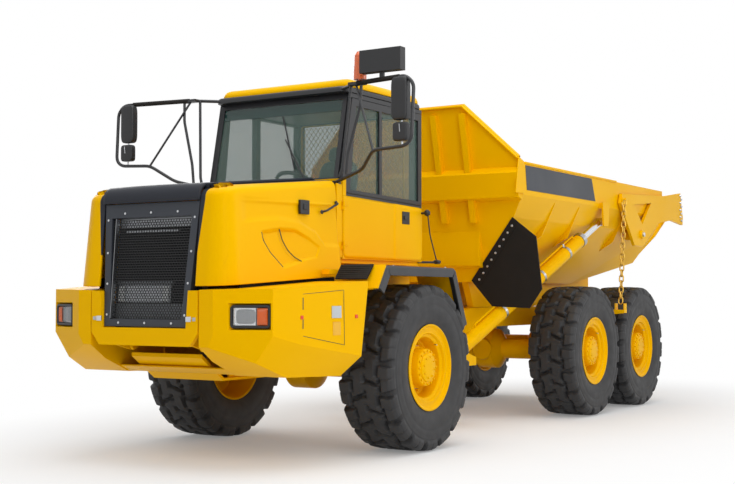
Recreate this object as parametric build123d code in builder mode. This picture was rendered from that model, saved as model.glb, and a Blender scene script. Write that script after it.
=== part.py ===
"""Articulated dump truck: three axles, a hinged hood, a tipping bin with a chain-lifted tailgate.

Millimetres. +Z is up, the truck faces -Y and its left side is +X. The origin is on the ground,
midway along the truck's length and on its centre plane.
"""

from build123d import *
import os
from math import atan2, cos, degrees, hypot, radians, sin, tan

os.makedirs("parts", exist_ok=True)

# Overall sizes and the wheels' places
overall_length = 10140
front_overhang = 2450
mid_axle_distance = 4181
rear_axle_distance = 5851
tyre_radius = 798
tyre_width = 595
width_over_tyres = 2940
bin_width = 2760
seat_gap = 0.3

front_axle_y = front_overhang - overall_length / 2
wheel_x = (width_over_tyres - tyre_width) / 2
axle_z = tyre_radius


def at(distance):
    """Y of a place that lies this far behind the front axle."""
    return front_axle_y + distance


def cross_plane(distance):
    """Upright plane across the truck, this far behind the front axle: local x is X, local y is Z."""
    return Plane.XZ.offset(-at(distance))


def side(points):
    """Outline on a side plane from (distance behind the front axle, height) pairs."""
    return [(at(distance), height) for distance, height in points]


def plan(points):
    """Outline on a level plane from (x, distance behind the front axle) pairs."""
    return [(x, at(distance)) for x, distance in points]


def both_sides(shape):
    """The shape with its mirror image across the truck's centre plane."""
    return [shape, mirror(shape, about=Plane.YZ)]


def save(part, name):
    """Label a finished sub-part and write its STEP file."""
    part.label = name
    export_step(part, f"parts/{name}.step")


def save_solids(shapes, name):
    """Label several separate solids of one sub-part and write them to one STEP file."""
    solids = [solid for shape in shapes for solid in shape.solids()]
    save(Compound(children=[Solid(solid.wrapped) for solid in solids]), name)


def flat_solid(sections):
    """Solid through sections of equal corner counts, its walls flat panels or pairs of flat triangles."""
    faces = [Face(Wire.make_polygon(sections[0])), Face(Wire.make_polygon(sections[-1]))]
    for near, far in zip(sections, sections[1:]):
        for corner in range(len(near)):
            other = (corner + 1) % len(near)
            a, b, c, d = near[corner], near[other], far[other], far[corner]
            normal = (b - a).cross(d - a).normalized()
            panels = [[a, b, c, d]] if abs(normal.dot(c - a)) < 0.001 else [[a, b, c], [a, c, d]]
            faces.extend(Face(Wire.make_polygon(panel)) for panel in panels)
    return Solid(Shell(faces))


def ring_corners(x, radius):
    """Corners of an even polygon in a wheel's plane, one for each lug, round flats of this radius."""
    reach = radius / cos(radians(180 / lug_count))
    angles = [radians(90 + (lug + 0.5) * 360 / lug_count) for lug in range(lug_count)]
    return [Vector(x, reach * cos(angle), reach * sin(angle)) for angle in angles]


# Tyres: two rings of lugs, one turned half a pitch against the other
lug_count = 17
lug_depth = 42
lug_top = 150
lug_foot = 170
bead_radius = 405
shoulder_radius = 655
sidewall_dish = 50


def lug_outline(turn):
    """Outline of one ring of lugs in the wheel's plane, with its first lug turned from straight up."""
    pitch = 360 / lug_count
    top_half = degrees(atan2(lug_top / 2, tyre_radius))
    foot_half = degrees(atan2(lug_foot / 2, tyre_radius - lug_depth))
    corner = hypot(lug_top / 2, tyre_radius)
    root = hypot(lug_foot / 2, tyre_radius - lug_depth)
    points = []
    for lug in range(lug_count):
        middle = 90 + turn + lug * pitch
        for angle, radius in (
            (middle - foot_half, root),
            (middle - top_half, corner),
            (middle + top_half, corner),
            (middle + foot_half, root),
        ):
            points.append((radius * cos(radians(angle)), radius * sin(radians(angle))))
    return points


half_tyre = tyre_width / 2
with BuildPart() as tyre:
    with BuildSketch(Plane.YZ):
        Polygon(*lug_outline(0), align=None)
    extrude(amount=half_tyre)
    with BuildSketch(Plane.YZ):
        Polygon(*lug_outline(180 / lug_count), align=None)
    extrude(amount=-half_tyre)
    dished_x = half_tyre - sidewall_dish
    add(
        flat_solid(
            [
                ring_corners(-half_tyre, shoulder_radius),
                ring_corners(-dished_x, bead_radius),
                ring_corners(dished_x, bead_radius),
                ring_corners(half_tyre, shoulder_radius),
            ]
        ),
        mode=Mode.SUBTRACT,
    )

# Rims: dished wheel disc and the planetary hub, outer face towards +X
rim_edge = 262
rim_wall = 30
disc_x = 82
disc_thickness = 30
hub_radius = 200
hub_face_x = 256
hub_face_radius = 130
spindle_radius = 75
spindle_depth = 190
spindle_clearance = 0.3
hub_back_x = -20
hub_back_radius = 170

with BuildPart() as rim:
    with BuildSketch(Plane.XZ):
        Polygon(
            (-rim_edge, bead_radius),
            (rim_edge, bead_radius),
            (rim_edge, bead_radius - rim_wall),
            (disc_x, bead_radius - 1.7 * rim_wall),
            (disc_x, hub_radius),
            (hub_face_x - 30, hub_radius - 20),
            (hub_face_x, hub_face_radius),
            (hub_face_x, 0),
            (hub_back_x + spindle_depth, 0),
            (hub_back_x + spindle_depth, spindle_radius + spindle_clearance),
            (hub_back_x, spindle_radius + spindle_clearance),
            (hub_back_x, hub_back_radius),
            (disc_x - disc_thickness, hub_back_radius),
            (disc_x - disc_thickness, bead_radius - rim_wall),
            (-rim_edge, bead_radius - rim_wall),
            align=None,
        )
    revolve(axis=Axis.X)

# Wheel places: name, distance behind the front axle, side of the truck (1 is left)
wheels = (
    ("front_left", 0, 1),
    ("front_right", 0, -1),
    ("mid_left", mid_axle_distance, 1),
    ("mid_right", mid_axle_distance, -1),
    ("rear_left", rear_axle_distance, 1),
    ("rear_right", rear_axle_distance, -1),
)
for wheel_name, distance, hand in wheels:
    centre = Pos(hand * wheel_x, at(distance), axle_z)
    facing = centre if hand == 1 else centre * Rot(0, 0, 180)
    save(facing * tyre.part, f"tyre_{wheel_name}")
    save(facing * rim.part, f"rim_{wheel_name}")

# Axles: tube, differential housing, brake housings inside the rims and the spindles
axle_tube_radius = 125
brake_radius = 165
brake_inner_x = 740
brake_gap = 12
housing_radius = 250
housing_half_width = 210
nose_radius = 200
nose_end_radius = 130
spindle_end_gap = 5


def axle(distance, nose_length, nose_side):
    """Driven axle with its differential nose pointing forward (-1) or rearward (1)."""
    brake_end_x = wheel_x + hub_back_x - brake_gap
    spindle_end_x = wheel_x + hub_back_x + spindle_depth - spindle_end_gap
    with BuildPart() as body:
        with BuildSketch(Plane.XZ.offset(-at(distance))):
            Polygon(
                (0, axle_z),
                (0, axle_z + housing_radius),
                (housing_half_width * 0.55, axle_z + housing_radius),
                (housing_half_width, axle_z + axle_tube_radius),
                (brake_inner_x, axle_z + axle_tube_radius),
                (brake_inner_x, axle_z + brake_radius),
                (brake_end_x, axle_z + brake_radius),
                (brake_end_x, axle_z + spindle_radius),
                (spindle_end_x, axle_z + spindle_radius),
                (spindle_end_x, axle_z),
                align=None,
            )
        revolve(axis=Axis((0, at(distance), axle_z), (1, 0, 0)))
        mirror(about=Plane.YZ)
        nose_end = distance + nose_side * nose_length
        with BuildSketch(Plane.YZ):
            Polygon(
                *side(
                    [
                        (distance, axle_z),
                        (distance, axle_z + nose_radius),
                        (nose_end, axle_z + nose_end_radius),
                        (nose_end, axle_z),
                    ]
                ),
                align=None,
            )
        revolve(axis=Axis((0, at(distance), axle_z), (0, 1, 0)))
    return body.part


# Front frame rails, cross members and the ears of the articulation
rail_x = 370
rail_width = 80
front_rail_bottom = 1010
front_rail_top = 1250
front_rail_start = -2160
front_rail_end = 860
yaw_distance = 1300
ear_radius = 150
ear_thickness = 50
upper_ear_z = 1235
lower_ear_z = 745
pin_radius = 55
pin_clearance = 0.5
steer_base_x = 560
steer_base_distance = 430
steer_z = 930
steer_eye_half = 45
steer_pin_radius = 25
panel_hinge_distance = -2120
panel_hinge_z = 1040
panel_arm_x = 440
panel_pin_radius = 15

with BuildPart() as front_chassis:
    for rail_centre in (-rail_x, rail_x):
        with BuildSketch(Plane.YZ.offset(rail_centre - rail_width / 2)):
            Polygon(
                *side(
                    [
                        (front_rail_start, front_rail_bottom + 60),
                        (-1500, front_rail_bottom),
                        (front_rail_end, front_rail_bottom),
                        (front_rail_end, front_rail_top),
                        (front_rail_start, front_rail_top),
                    ]
                ),
                align=None,
            )
        extrude(amount=rail_width)
    for member_distance, member_bottom, member_top in (
        (front_rail_start + 60, front_rail_bottom + 60, front_rail_top),
        (-1450, front_rail_bottom, front_rail_bottom + 80),
        (420, front_rail_bottom + 15, front_rail_bottom + 90),
    ):
        with BuildSketch(Plane.XY.offset(member_bottom)):
            with Locations((0, at(member_distance))):
                Rectangle(2 * rail_x, 120)
        extrude(amount=member_top - member_bottom)
    with BuildSketch(cross_plane(front_rail_end)):
        Polygon(
            (-rail_x - 40, upper_ear_z + ear_thickness),
            (rail_x + 40, upper_ear_z + ear_thickness),
            (rail_x + 40, front_rail_bottom),
            (300, front_rail_bottom),
            (230, lower_ear_z - ear_thickness),
            (-230, lower_ear_z - ear_thickness),
            (-300, front_rail_bottom),
            (-rail_x - 40, front_rail_bottom),
            align=None,
        )
    extrude(amount=60, both=True)
    for ear_bottom in (upper_ear_z, lower_ear_z - ear_thickness):
        with BuildSketch(Plane.XY.offset(ear_bottom)):
            Polygon(
                *plan(
                    [
                        (-300 if ear_bottom == upper_ear_z else -220, front_rail_end),
                        (-ear_radius, yaw_distance),
                        (ear_radius, yaw_distance),
                        (300 if ear_bottom == upper_ear_z else 220, front_rail_end),
                    ]
                ),
                align=None,
            )
            with Locations((0, at(yaw_distance))):
                Circle(ear_radius)
                Circle(pin_radius + pin_clearance, mode=Mode.SUBTRACT)
        extrude(amount=ear_thickness)
    for hand in (-1, 1):
        for ear_bottom in (steer_z - steer_eye_half - 35, steer_z + steer_eye_half + 5):
            with BuildSketch(Plane.XY.offset(ear_bottom)):
                with Locations((hand * (steer_base_x + rail_x) / 2, at(steer_base_distance))):
                    Rectangle(steer_base_x - rail_x, 100)
                with Locations((hand * steer_base_x, at(steer_base_distance))):
                    Circle(50)
            extrude(amount=30)
        with BuildSketch(Plane.XY.offset(steer_z - steer_eye_half - 35)):
            with Locations((hand * (rail_x + 10), at(steer_base_distance))):
                Rectangle(60, 100)
        extrude(amount=front_rail_bottom - steer_z + steer_eye_half + 45)
        with BuildSketch(Plane.XY.offset(steer_z - steer_eye_half - 35)):
            with Locations((hand * steer_base_x, at(steer_base_distance))):
                Circle(steer_pin_radius)
        extrude(amount=2 * steer_eye_half + 70)
        lug_low = min(hand * (rail_x + 15), hand * (rail_x + 40))
        with BuildSketch(Plane.YZ.offset(lug_low)):
            with Locations((at(panel_hinge_distance), panel_hinge_z)):
                Circle(38)
            with Locations((at(panel_hinge_distance), panel_hinge_z + 40)):
                Rectangle(76, 80)
        extrude(amount=25)
        pin_low = min(hand * (rail_x + 15), hand * (panel_arm_x + 20))
        with BuildSketch(Plane.YZ.offset(pin_low)):
            with Locations((at(panel_hinge_distance), panel_hinge_z)):
                Circle(panel_pin_radius)
        extrude(amount=panel_arm_x + 5 - rail_x)
save(front_chassis.part, "front_chassis")

# Front axle with its two trailing arms up to the frame and the suspension struts
front_axle_body = axle(0, 330, 1)
with BuildPart() as front_axle:
    add(front_axle_body)
    for arm_x in (-rail_x, rail_x):
        with BuildSketch(Plane.YZ.offset(arm_x - 35)):
            Polygon(
                *side(
                    [
                        (-60, axle_z - 90),
                        (60, axle_z - 90),
                        (60, axle_z + 90),
                        (-860, front_rail_bottom - seat_gap),
                        (-1000, front_rail_bottom - seat_gap),
                        (-1000, 960),
                        (-880, 900),
                    ]
                ),
                align=None,
            )
        extrude(amount=70)
save(front_axle.part, "front_axle")

# Engine block and gearbox, one plain block each
engine_front = -2000
engine_rear = -760
engine_half_width = 330
gearbox_rear = 540
gearbox_half_width = 250

with BuildPart() as engine:
    with BuildSketch(cross_plane(engine_front)):
        Polygon(
            (-engine_half_width, 1150),
            (engine_half_width, 1150),
            (engine_half_width, 1700),
            (200, 2050),
            (-200, 2050),
            (-engine_half_width, 1700),
            align=None,
        )
    extrude(amount=-(engine_rear - engine_front))
    for mount_distance in (-1850, -950):
        with BuildSketch(Plane.XY.offset(front_rail_top)):
            with Locations((0, at(mount_distance))):
                Rectangle(2 * rail_x + rail_width, 120)
        extrude(amount=50)
save(engine.part, "engine")

with BuildPart() as gearbox:
    with BuildSketch(cross_plane(engine_rear)) as gearbox_section:
        with Locations((0, 1360)):
            Rectangle(2 * gearbox_half_width, 2 * gearbox_half_width)
        chamfer(gearbox_section.vertices(), 110)
    extrude(amount=-(gearbox_rear - engine_rear))
    with BuildSketch(Plane.XY.offset(front_rail_top)):
        with Locations((0, at(300))):
            Rectangle(2 * rail_x + rail_width, 120)
    extrude(amount=50)
save(gearbox.part, "gearbox")

# Radiator behind the grille
radiator_half_width = 420
radiator_front = -2200
radiator_depth = 110

with BuildPart() as radiator:
    with BuildSketch(Plane.XY.offset(front_rail_top)):
        with Locations((0, at(radiator_front + radiator_depth / 2))):
            Rectangle(2 * radiator_half_width, radiator_depth)
    extrude(amount=900)
save(radiator.part, "radiator")

# Belly guard: folded plate that rises towards the bumper, hung from the rails
guard_half_width = 400
with BuildPart() as belly_guard:
    with BuildSketch(Plane.YZ.offset(-guard_half_width)):
        Polygon(
            *side(
                [
                    (-2150, 950),
                    (-1850, 740),
                    (-1150, 740),
                    (-1020, 960),
                    (-1020, 1010),
                    (-1045, 1010),
                    (-1175, 765),
                    (-1838, 765),
                    (-2150, 985),
                ]
            ),
            align=None,
        )
    extrude(amount=2 * guard_half_width)
    for hanger_x in (-rail_x, rail_x):
        with BuildSketch(Plane.XY.offset(765)):
            with Locations((hanger_x, at(-1500))):
                Rectangle(20, 500)
        extrude(amount=front_rail_bottom - 765)
save(belly_guard.part, "belly_guard")

# Side boxes beside the hood: bumper corner, headlamp pocket and the flank up to the wheel arch.
# Each section: distance of its lower edge, lean rearward, then five corners as (x, height).
box_inner_x = 612
side_box_sections = (
    (-2446, 0, ((box_inner_x, 1060), (700, 1060), (760, 1150), (760, 1538), (box_inner_x, 1535))),
    (-2262, 0, ((box_inner_x, 930), (1060, 930), (1235, 1156), (1235, 1545), (box_inner_x, 1545))),
    (-1960, 0, ((box_inner_x, 800), (1150, 800), (1300, 1080), (1300, 1563), (box_inner_x, 1563))),
    (-1205, 150, ((box_inner_x, 776), (1200, 776), (1400, 955), (1400, 1617), (box_inner_x, 1617))),
)
hood_hinge_distance = -2415
hood_hinge_z = 1535
hood_ear_x = 655
hood_ear_width = 18
hinge_pin_radius = 10
lamp_x = 850
lamp_z = 1400
lamp_half_width = 160
lamp_half_height = 72


def box_section(distance, lean, corners):
    """Five corners of a side box section, its top set back by the lean."""
    low = corners[0][1]
    high = corners[3][1]
    return [Vector(x, at(distance + lean * (z - low) / (high - low)), z) for x, z in corners]


with BuildPart() as side_box:
    add(flat_solid([box_section(*section) for section in side_box_sections]))
    with BuildSketch(Plane.XZ.offset(-at(-2460))):
        with Locations((lamp_x + 60, lamp_z)):
            Rectangle(2 * lamp_half_width, 2 * lamp_half_height)
    extrude(amount=-190, mode=Mode.SUBTRACT)
    with BuildSketch(Plane.XY.offset(hood_hinge_z - 28)):
        with Locations((hood_ear_x + hood_ear_width / 2, at(hood_hinge_distance))):
            Rectangle(hood_ear_width + 14, 90)
    extrude(amount=100, mode=Mode.SUBTRACT)
    with BuildSketch(Plane.YZ.offset(hood_ear_x - 12)):
        with Locations((at(hood_hinge_distance), hood_hinge_z)):
            Circle(hinge_pin_radius)
    extrude(amount=hood_ear_width + 24)
    with BuildSketch(Plane.XY.offset(front_rail_bottom + 20)):
        with Locations((rail_x + 165, at(-1600))):
            Rectangle(250, 300)
    extrude(amount=100)
save_solids(both_sides(side_box.part), "side_boxes")

with BuildPart() as headlamp:
    with BuildSketch(Plane.XZ.offset(-at(-2345))):
        with Locations((lamp_x + 60, lamp_z)):
            RectangleRounded(2 * lamp_half_width - 10, 2 * lamp_half_height - 10, 20)
    extrude(amount=-75)
save_solids(both_sides(headlamp.part), "headlamps")

# Folding front panel: bumper plate with the grille frame standing on it
panel_half_width = 600
panel_front = -2450
panel_thickness = 50
panel_bottom = 1060
panel_top = 1530
grille_bottom = (466, -2431, 1222)
grille_top = (536, -2345, 2289)
grille_rim = 62
grille_depth = 60
grille_bar = 14

grille_lean = degrees(atan2(grille_top[1] - grille_bottom[1], grille_top[2] - grille_bottom[2]))
grille_height = hypot(grille_top[1] - grille_bottom[1], grille_top[2] - grille_bottom[2])
grille_plane = Plane(
    origin=(0, at(grille_bottom[1]), grille_bottom[2]),
    x_dir=(1, 0, 0),
    z_dir=(0, -cos(radians(grille_lean)), sin(radians(grille_lean))),
)

with BuildPart() as grille_frame:
    with BuildSketch(grille_plane):
        Polygon(
            (-grille_bottom[0], 0),
            (grille_bottom[0], 0),
            (grille_top[0], grille_height),
            (-grille_top[0], grille_height),
            align=None,
        )
        Polygon(
            (-grille_bottom[0] + grille_rim, grille_rim),
            (grille_bottom[0] - grille_rim, grille_rim),
            (grille_top[0] - 1.3 * grille_rim, grille_height - 2 * grille_rim),
            (-grille_top[0] + 1.3 * grille_rim, grille_height - 2 * grille_rim),
            align=None,
            mode=Mode.SUBTRACT,
        )
    extrude(amount=-grille_depth)
save(grille_frame.part, "grille_frame")


with BuildPart() as grille_mesh:
    with BuildSketch(grille_plane.offset(-20)):
        with GridLocations(0, 95, 1, 23):
            Rectangle(1100, grille_bar)
        with GridLocations(150, 0, 7, 1):
            Rectangle(grille_bar, 2200)
        Polygon(
            (-grille_bottom[0] + grille_rim + seat_gap, grille_rim + seat_gap),
            (grille_bottom[0] - grille_rim - seat_gap, grille_rim + seat_gap),
            (grille_top[0] - 1.3 * grille_rim - seat_gap, grille_height - 2 * grille_rim - seat_gap),
            (-grille_top[0] + 1.3 * grille_rim + seat_gap, grille_height - 2 * grille_rim - seat_gap),
            align=None,
            mode=Mode.INTERSECT,
        )
    extrude(amount=-12)
save(grille_mesh.part, "grille_mesh")

clip_z = 1290
clip_front = grille_bottom[1] + (clip_z + 50 - grille_bottom[2]) * tan(radians(grille_lean)) + grille_depth + 1
with BuildPart() as bumper_panel:
    with BuildSketch(Plane.XZ.offset(-at(panel_front))):
        Polygon(
            (-panel_half_width + 90, panel_bottom),
            (panel_half_width - 90, panel_bottom),
            (panel_half_width, panel_bottom + 110),
            (panel_half_width, panel_top),
            (-panel_half_width, panel_top),
            (-panel_half_width, panel_bottom + 110),
            align=None,
        )
        Polygon(
            (-grille_bottom[0] - 6, grille_bottom[2] - 10),
            (grille_bottom[0] + 6, grille_bottom[2] - 10),
            (grille_bottom[0] + 30, panel_top + 1),
            (-grille_bottom[0] - 30, panel_top + 1),
            align=None,
            mode=Mode.SUBTRACT,
        )
    extrude(amount=-panel_thickness)
    for arm_x in (-panel_arm_x, panel_arm_x):
        with BuildSketch(Plane.YZ.offset(arm_x - 15)):
            Polygon(
                *side(
                    [
                        (panel_front + panel_thickness, 1080),
                        (panel_hinge_distance, panel_hinge_z - 35),
                        (panel_hinge_distance + 30, panel_hinge_z),
                        (panel_hinge_distance, panel_hinge_z + 35),
                        (panel_front + panel_thickness, 1200),
                    ]
                ),
                align=None,
            )
            with Locations((at(panel_hinge_distance), panel_hinge_z)):
                Circle(35)
                Circle(panel_pin_radius + seat_gap, mode=Mode.SUBTRACT)
        extrude(amount=30)
    for hand in (-1, 1):
        with BuildSketch(Plane.XY.offset(clip_z)):
            Polygon(
                *plan(
                    [
                        (hand * (grille_bottom[0] + 15), panel_front + panel_thickness),
                        (hand * (grille_bottom[0] + 60), panel_front + panel_thickness),
                        (hand * (grille_bottom[0] + 60), clip_front + 20),
                        (hand * (grille_bottom[0] - 30), clip_front + 20),
                        (hand * (grille_bottom[0] - 30), clip_front),
                        (hand * (grille_bottom[0] + 15), clip_front),
                    ]
                ),
                align=None,
            )
        extrude(amount=50)
save(bumper_panel.part, "bumper_panel")

# Hood: one tapered shell, open below and behind, with an opening in front for the grille frame
hood_wall = 35
hood_rear = -680
hood_front = -2425
hood_half_width = 885
hood_bottom_front = 1565
hood_bottom_rear = 1668
hood_top_front = 2400
hood_top_rear = 2578
hood_taper = 5
hood_corner = 240
hood_edge = 85
scoop_depth = 18
scoop_low = (-1591, 1738)


def hood_form(inset):
    """Closed form of the hood, its walls and top moved inward by the inset."""
    half = hood_half_width - inset
    front = hood_front + inset
    base_z = hood_bottom_front - 80
    with BuildPart() as form:
        with BuildSketch(Plane.XY.offset(base_z)) as hood_plan:
            Polygon(
                *plan(
                    [
                        (inset - 645, front),
                        (645 - inset, front),
                        (half - 15, -2190),
                        (half, -400),
                        (-half, -400),
                        (15 - half, -2190),
                    ]
                ),
                align=None,
            )
            fillet(hood_plan.vertices().filter_by(lambda v: v.Y < at(-2000)), hood_corner)
        extrude(amount=1250, taper=hood_taper)
        with BuildSketch(Plane.YZ.offset(-1200)):
            Polygon(
                *side(
                    [
                        (hood_front - 50, hood_bottom_front - 2 * inset),
                        (hood_rear + 2 * inset, hood_bottom_rear - 2 * inset),
                        (hood_rear + 2 * inset, hood_top_rear - inset),
                        (hood_front - 50, hood_top_front - 12 - inset),
                    ]
                ),
                align=None,
            )
        extrude(amount=2400, mode=Mode.INTERSECT)
        top = form.faces().sort_by(Axis.Z)[-1]
        fillet([edge for edge in top.edges() if edge.center().Y < at(hood_rear) - 5], hood_edge - inset / 2)
    return form.part


hood_outer = hood_form(0)
hood_inner = hood_form(hood_wall)
with BuildPart() as hood:
    add(hood_outer)
    add(hood_inner, mode=Mode.SUBTRACT)
    with BuildSketch(grille_plane.offset(120)):
        Polygon(
            (-grille_bottom[0] - 12, -200),
            (grille_bottom[0] + 12, -200),
            (grille_top[0] + 12, grille_height + 12),
            (-grille_top[0] - 12, grille_height + 12),
            align=None,
        )
    extrude(amount=-420, mode=Mode.SUBTRACT)
    flank_x = hood_half_width - (scoop_low[1] - hood_bottom_front + 80) * tan(radians(hood_taper))
    for hand in (-1, 1):
        scoop_plane = Plane(
            origin=(hand * (flank_x - scoop_depth), at(scoop_low[0]), scoop_low[1]),
            x_dir=(0, 1, 0),
            z_dir=(hand * cos(radians(hood_taper)), 0, sin(radians(hood_taper))),
        )
        with BuildSketch(scoop_plane):
            Polygon(
                *[
                    (distance - scoop_low[0], hand * (height - scoop_low[1]) / cos(radians(hood_taper)))
                    for distance, height in (
                        (-1870, 2033),
                        (-1855, 1965),
                        (-1768, 1864),
                        (-1650, 1780),
                        scoop_low,
                        (-1347, 1787),
                        (-1063, 1829),
                        (-998, 1932),
                        (-1160, 2008),
                        (-1349, 2073),
                        (-1607, 2070),
                    )
                ],
                align=None,
            )
        extrude(amount=3 * scoop_depth, mode=Mode.SUBTRACT)
    for ear_x in (-hood_ear_x - hood_ear_width, hood_ear_x):
        with BuildSketch(Plane.YZ.offset(ear_x)):
            Polygon(
                *side(
                    [
                        (hood_hinge_distance - 18, hood_hinge_z),
                        (hood_hinge_distance + 18, hood_hinge_z),
                        (hood_hinge_distance + 45, hood_bottom_front + 30),
                        (hood_hinge_distance + 10, hood_bottom_front + 30),
                    ]
                ),
                align=None,
            )
            with Locations((at(hood_hinge_distance), hood_hinge_z)):
                Circle(18)
        extrude(amount=hood_ear_width)
        with BuildSketch(Plane.YZ.offset(ear_x)):
            with Locations((at(hood_hinge_distance), hood_hinge_z)):
                Circle(hinge_pin_radius + 0.3)
        extrude(amount=hood_ear_width, mode=Mode.SUBTRACT)
save(hood.part, "hood")

# Deck under the cab, carried by posts on the frame rails
deck_bottom = 1680
deck_top = 1725
deck_half_width = 985
cab_half_width = 800
cab_front = -590
cab_rear = 960
cab_floor = 1795

with BuildPart() as deck:
    with BuildSketch(Plane.XY.offset(deck_bottom)):
        Polygon(
            *plan(
                [
                    (-deck_half_width, -1060),
                    (-905, -1060),
                    (-905, -640),
                    (905, -640),
                    (905, -1060),
                    (deck_half_width, -1060),
                    (deck_half_width, 560),
                    (760, 940),
                    (-760, 940),
                    (-deck_half_width, 560),
                ]
            ),
            align=None,
        )
    extrude(amount=deck_top - deck_bottom)
    for post_distance in (-560, 700):
        with BuildSketch(Plane.XY.offset(front_rail_top)):
            with Locations((-rail_x, at(post_distance)), (rail_x, at(post_distance))):
                Rectangle(60, 90)
        extrude(amount=deck_bottom - front_rail_top)
    with BuildSketch(Plane.XY.offset(deck_top)):
        with Locations((0, at((cab_front + cab_rear) / 2))):
            with GridLocations(1300, 1200, 2, 2):
                RegularPolygon(60, 8)
    extrude(amount=cab_floor - deck_top)
save(deck.part, "deck")

# Fenders over the front tyres, with the dark step pads on the deck's edges
fender_inner_x = 1020
fender_outer_x = 1450
fender_plate = 38

with BuildPart() as fender:
    with BuildSketch(Plane.YZ.offset(fender_inner_x)):
        Polygon(
            *side(
                [
                    (-965, 1545),
                    (-785, 1764),
                    (576, 1761),
                    (868, 1257),
                    (825, 1257),
                    (552, 1761 - fender_plate),
                    (-766, 1764 - fender_plate),
                    (-935, 1525),
                ]
            ),
            align=None,
        )
    extrude(amount=fender_outer_x - fender_inner_x)
    with BuildSketch(Plane.XY.offset(deck_top - 30)):
        with Locations(((fender_inner_x + deck_half_width) / 2, at(200))):
            Rectangle(fender_inner_x - deck_half_width, 300)
    extrude(amount=60)
with BuildPart() as step_pad:
    with BuildSketch(Plane.YZ.offset(deck_half_width)):
        Polygon(*side([(-1130, 1655), (-560, 1655), (-470, 1780), (-1070, 1780)]), align=None)
    extrude(amount=30)
save_solids(both_sides(fender.part) + both_sides(step_pad.part), "front_fenders")

# Cab: lower shell, dark upper frame, roof and glass
cab_wall = 40
cab_skin = 760
belt_z = 2400
pillar_foot_z = 2600
cab_top = 3440
windshield_foot = (-549, 2616)
windshield_head = (-423, 3375)
door_gap = 6
door_hinge_x = 824
door_hinge_distance = -573
door_hinge_heights = (1960, 2340)
door_pin_radius = 6
knuckle_radius = 12
knuckle_height = 40

with BuildPart() as cab_lower:
    with BuildSketch(Plane.XY.offset(cab_floor)):
        with Locations((0, at((cab_front + cab_rear) / 2))):
            Rectangle(2 * cab_skin, cab_rear - cab_front)
    extrude(amount=pillar_foot_z - cab_floor)
    with BuildSketch(Plane.XY.offset(cab_floor + cab_wall)):
        with Locations((0, at((cab_front + cab_rear) / 2))):
            Rectangle(2 * (cab_skin - cab_wall), cab_rear - cab_front - 2 * cab_wall)
    extrude(amount=pillar_foot_z, mode=Mode.SUBTRACT)
    with BuildSketch(Plane.YZ.offset(-cab_skin - 10)):
        Polygon(
            *side(
                [
                    (cab_front + 80, belt_z + 300),
                    (cab_front + 80, belt_z),
                    (cab_rear + 10, belt_z),
                    (cab_rear + 10, belt_z + 300),
                ]
            ),
            align=None,
        )
    extrude(amount=2 * cab_skin + 20, mode=Mode.SUBTRACT)
    with BuildSketch(Plane.YZ.offset(0)):
        Polygon(
            *side(
                [
                    (cab_front + 100, cab_floor + 90),
                    (cab_rear - 100, cab_floor + 90),
                    (cab_rear - 100, belt_z + 300),
                    (cab_front + 100, belt_z + 300),
                ]
            ),
            align=None,
        )
    extrude(amount=cab_skin + 10, mode=Mode.SUBTRACT)
    with BuildSketch(Plane.XY.offset(cab_floor)):
        Polygon(
            *plan(
                [
                    (-cab_skin, cab_front),
                    (-cab_skin, cab_rear),
                    (-cab_half_width, cab_rear),
                    (-cab_half_width, cab_front),
                ]
            ),
            align=None,
        )
    extrude(amount=belt_z - cab_floor)
    for hinge_z in door_hinge_heights:
        with BuildSketch(Plane.XY.offset(hinge_z - knuckle_height)):
            with Locations((door_hinge_x, at(door_hinge_distance))):
                Circle(knuckle_radius)
            with Locations(((cab_skin + door_hinge_x) / 2, at(cab_front + 6))):
                Rectangle(door_hinge_x - cab_skin, 12)
        extrude(amount=knuckle_height)
        with BuildSketch(Plane.XY.offset(hinge_z)):
            with Locations((door_hinge_x, at(door_hinge_distance))):
                Circle(door_pin_radius)
        extrude(amount=knuckle_height)
save(cab_lower.part, "cab_lower")

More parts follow.
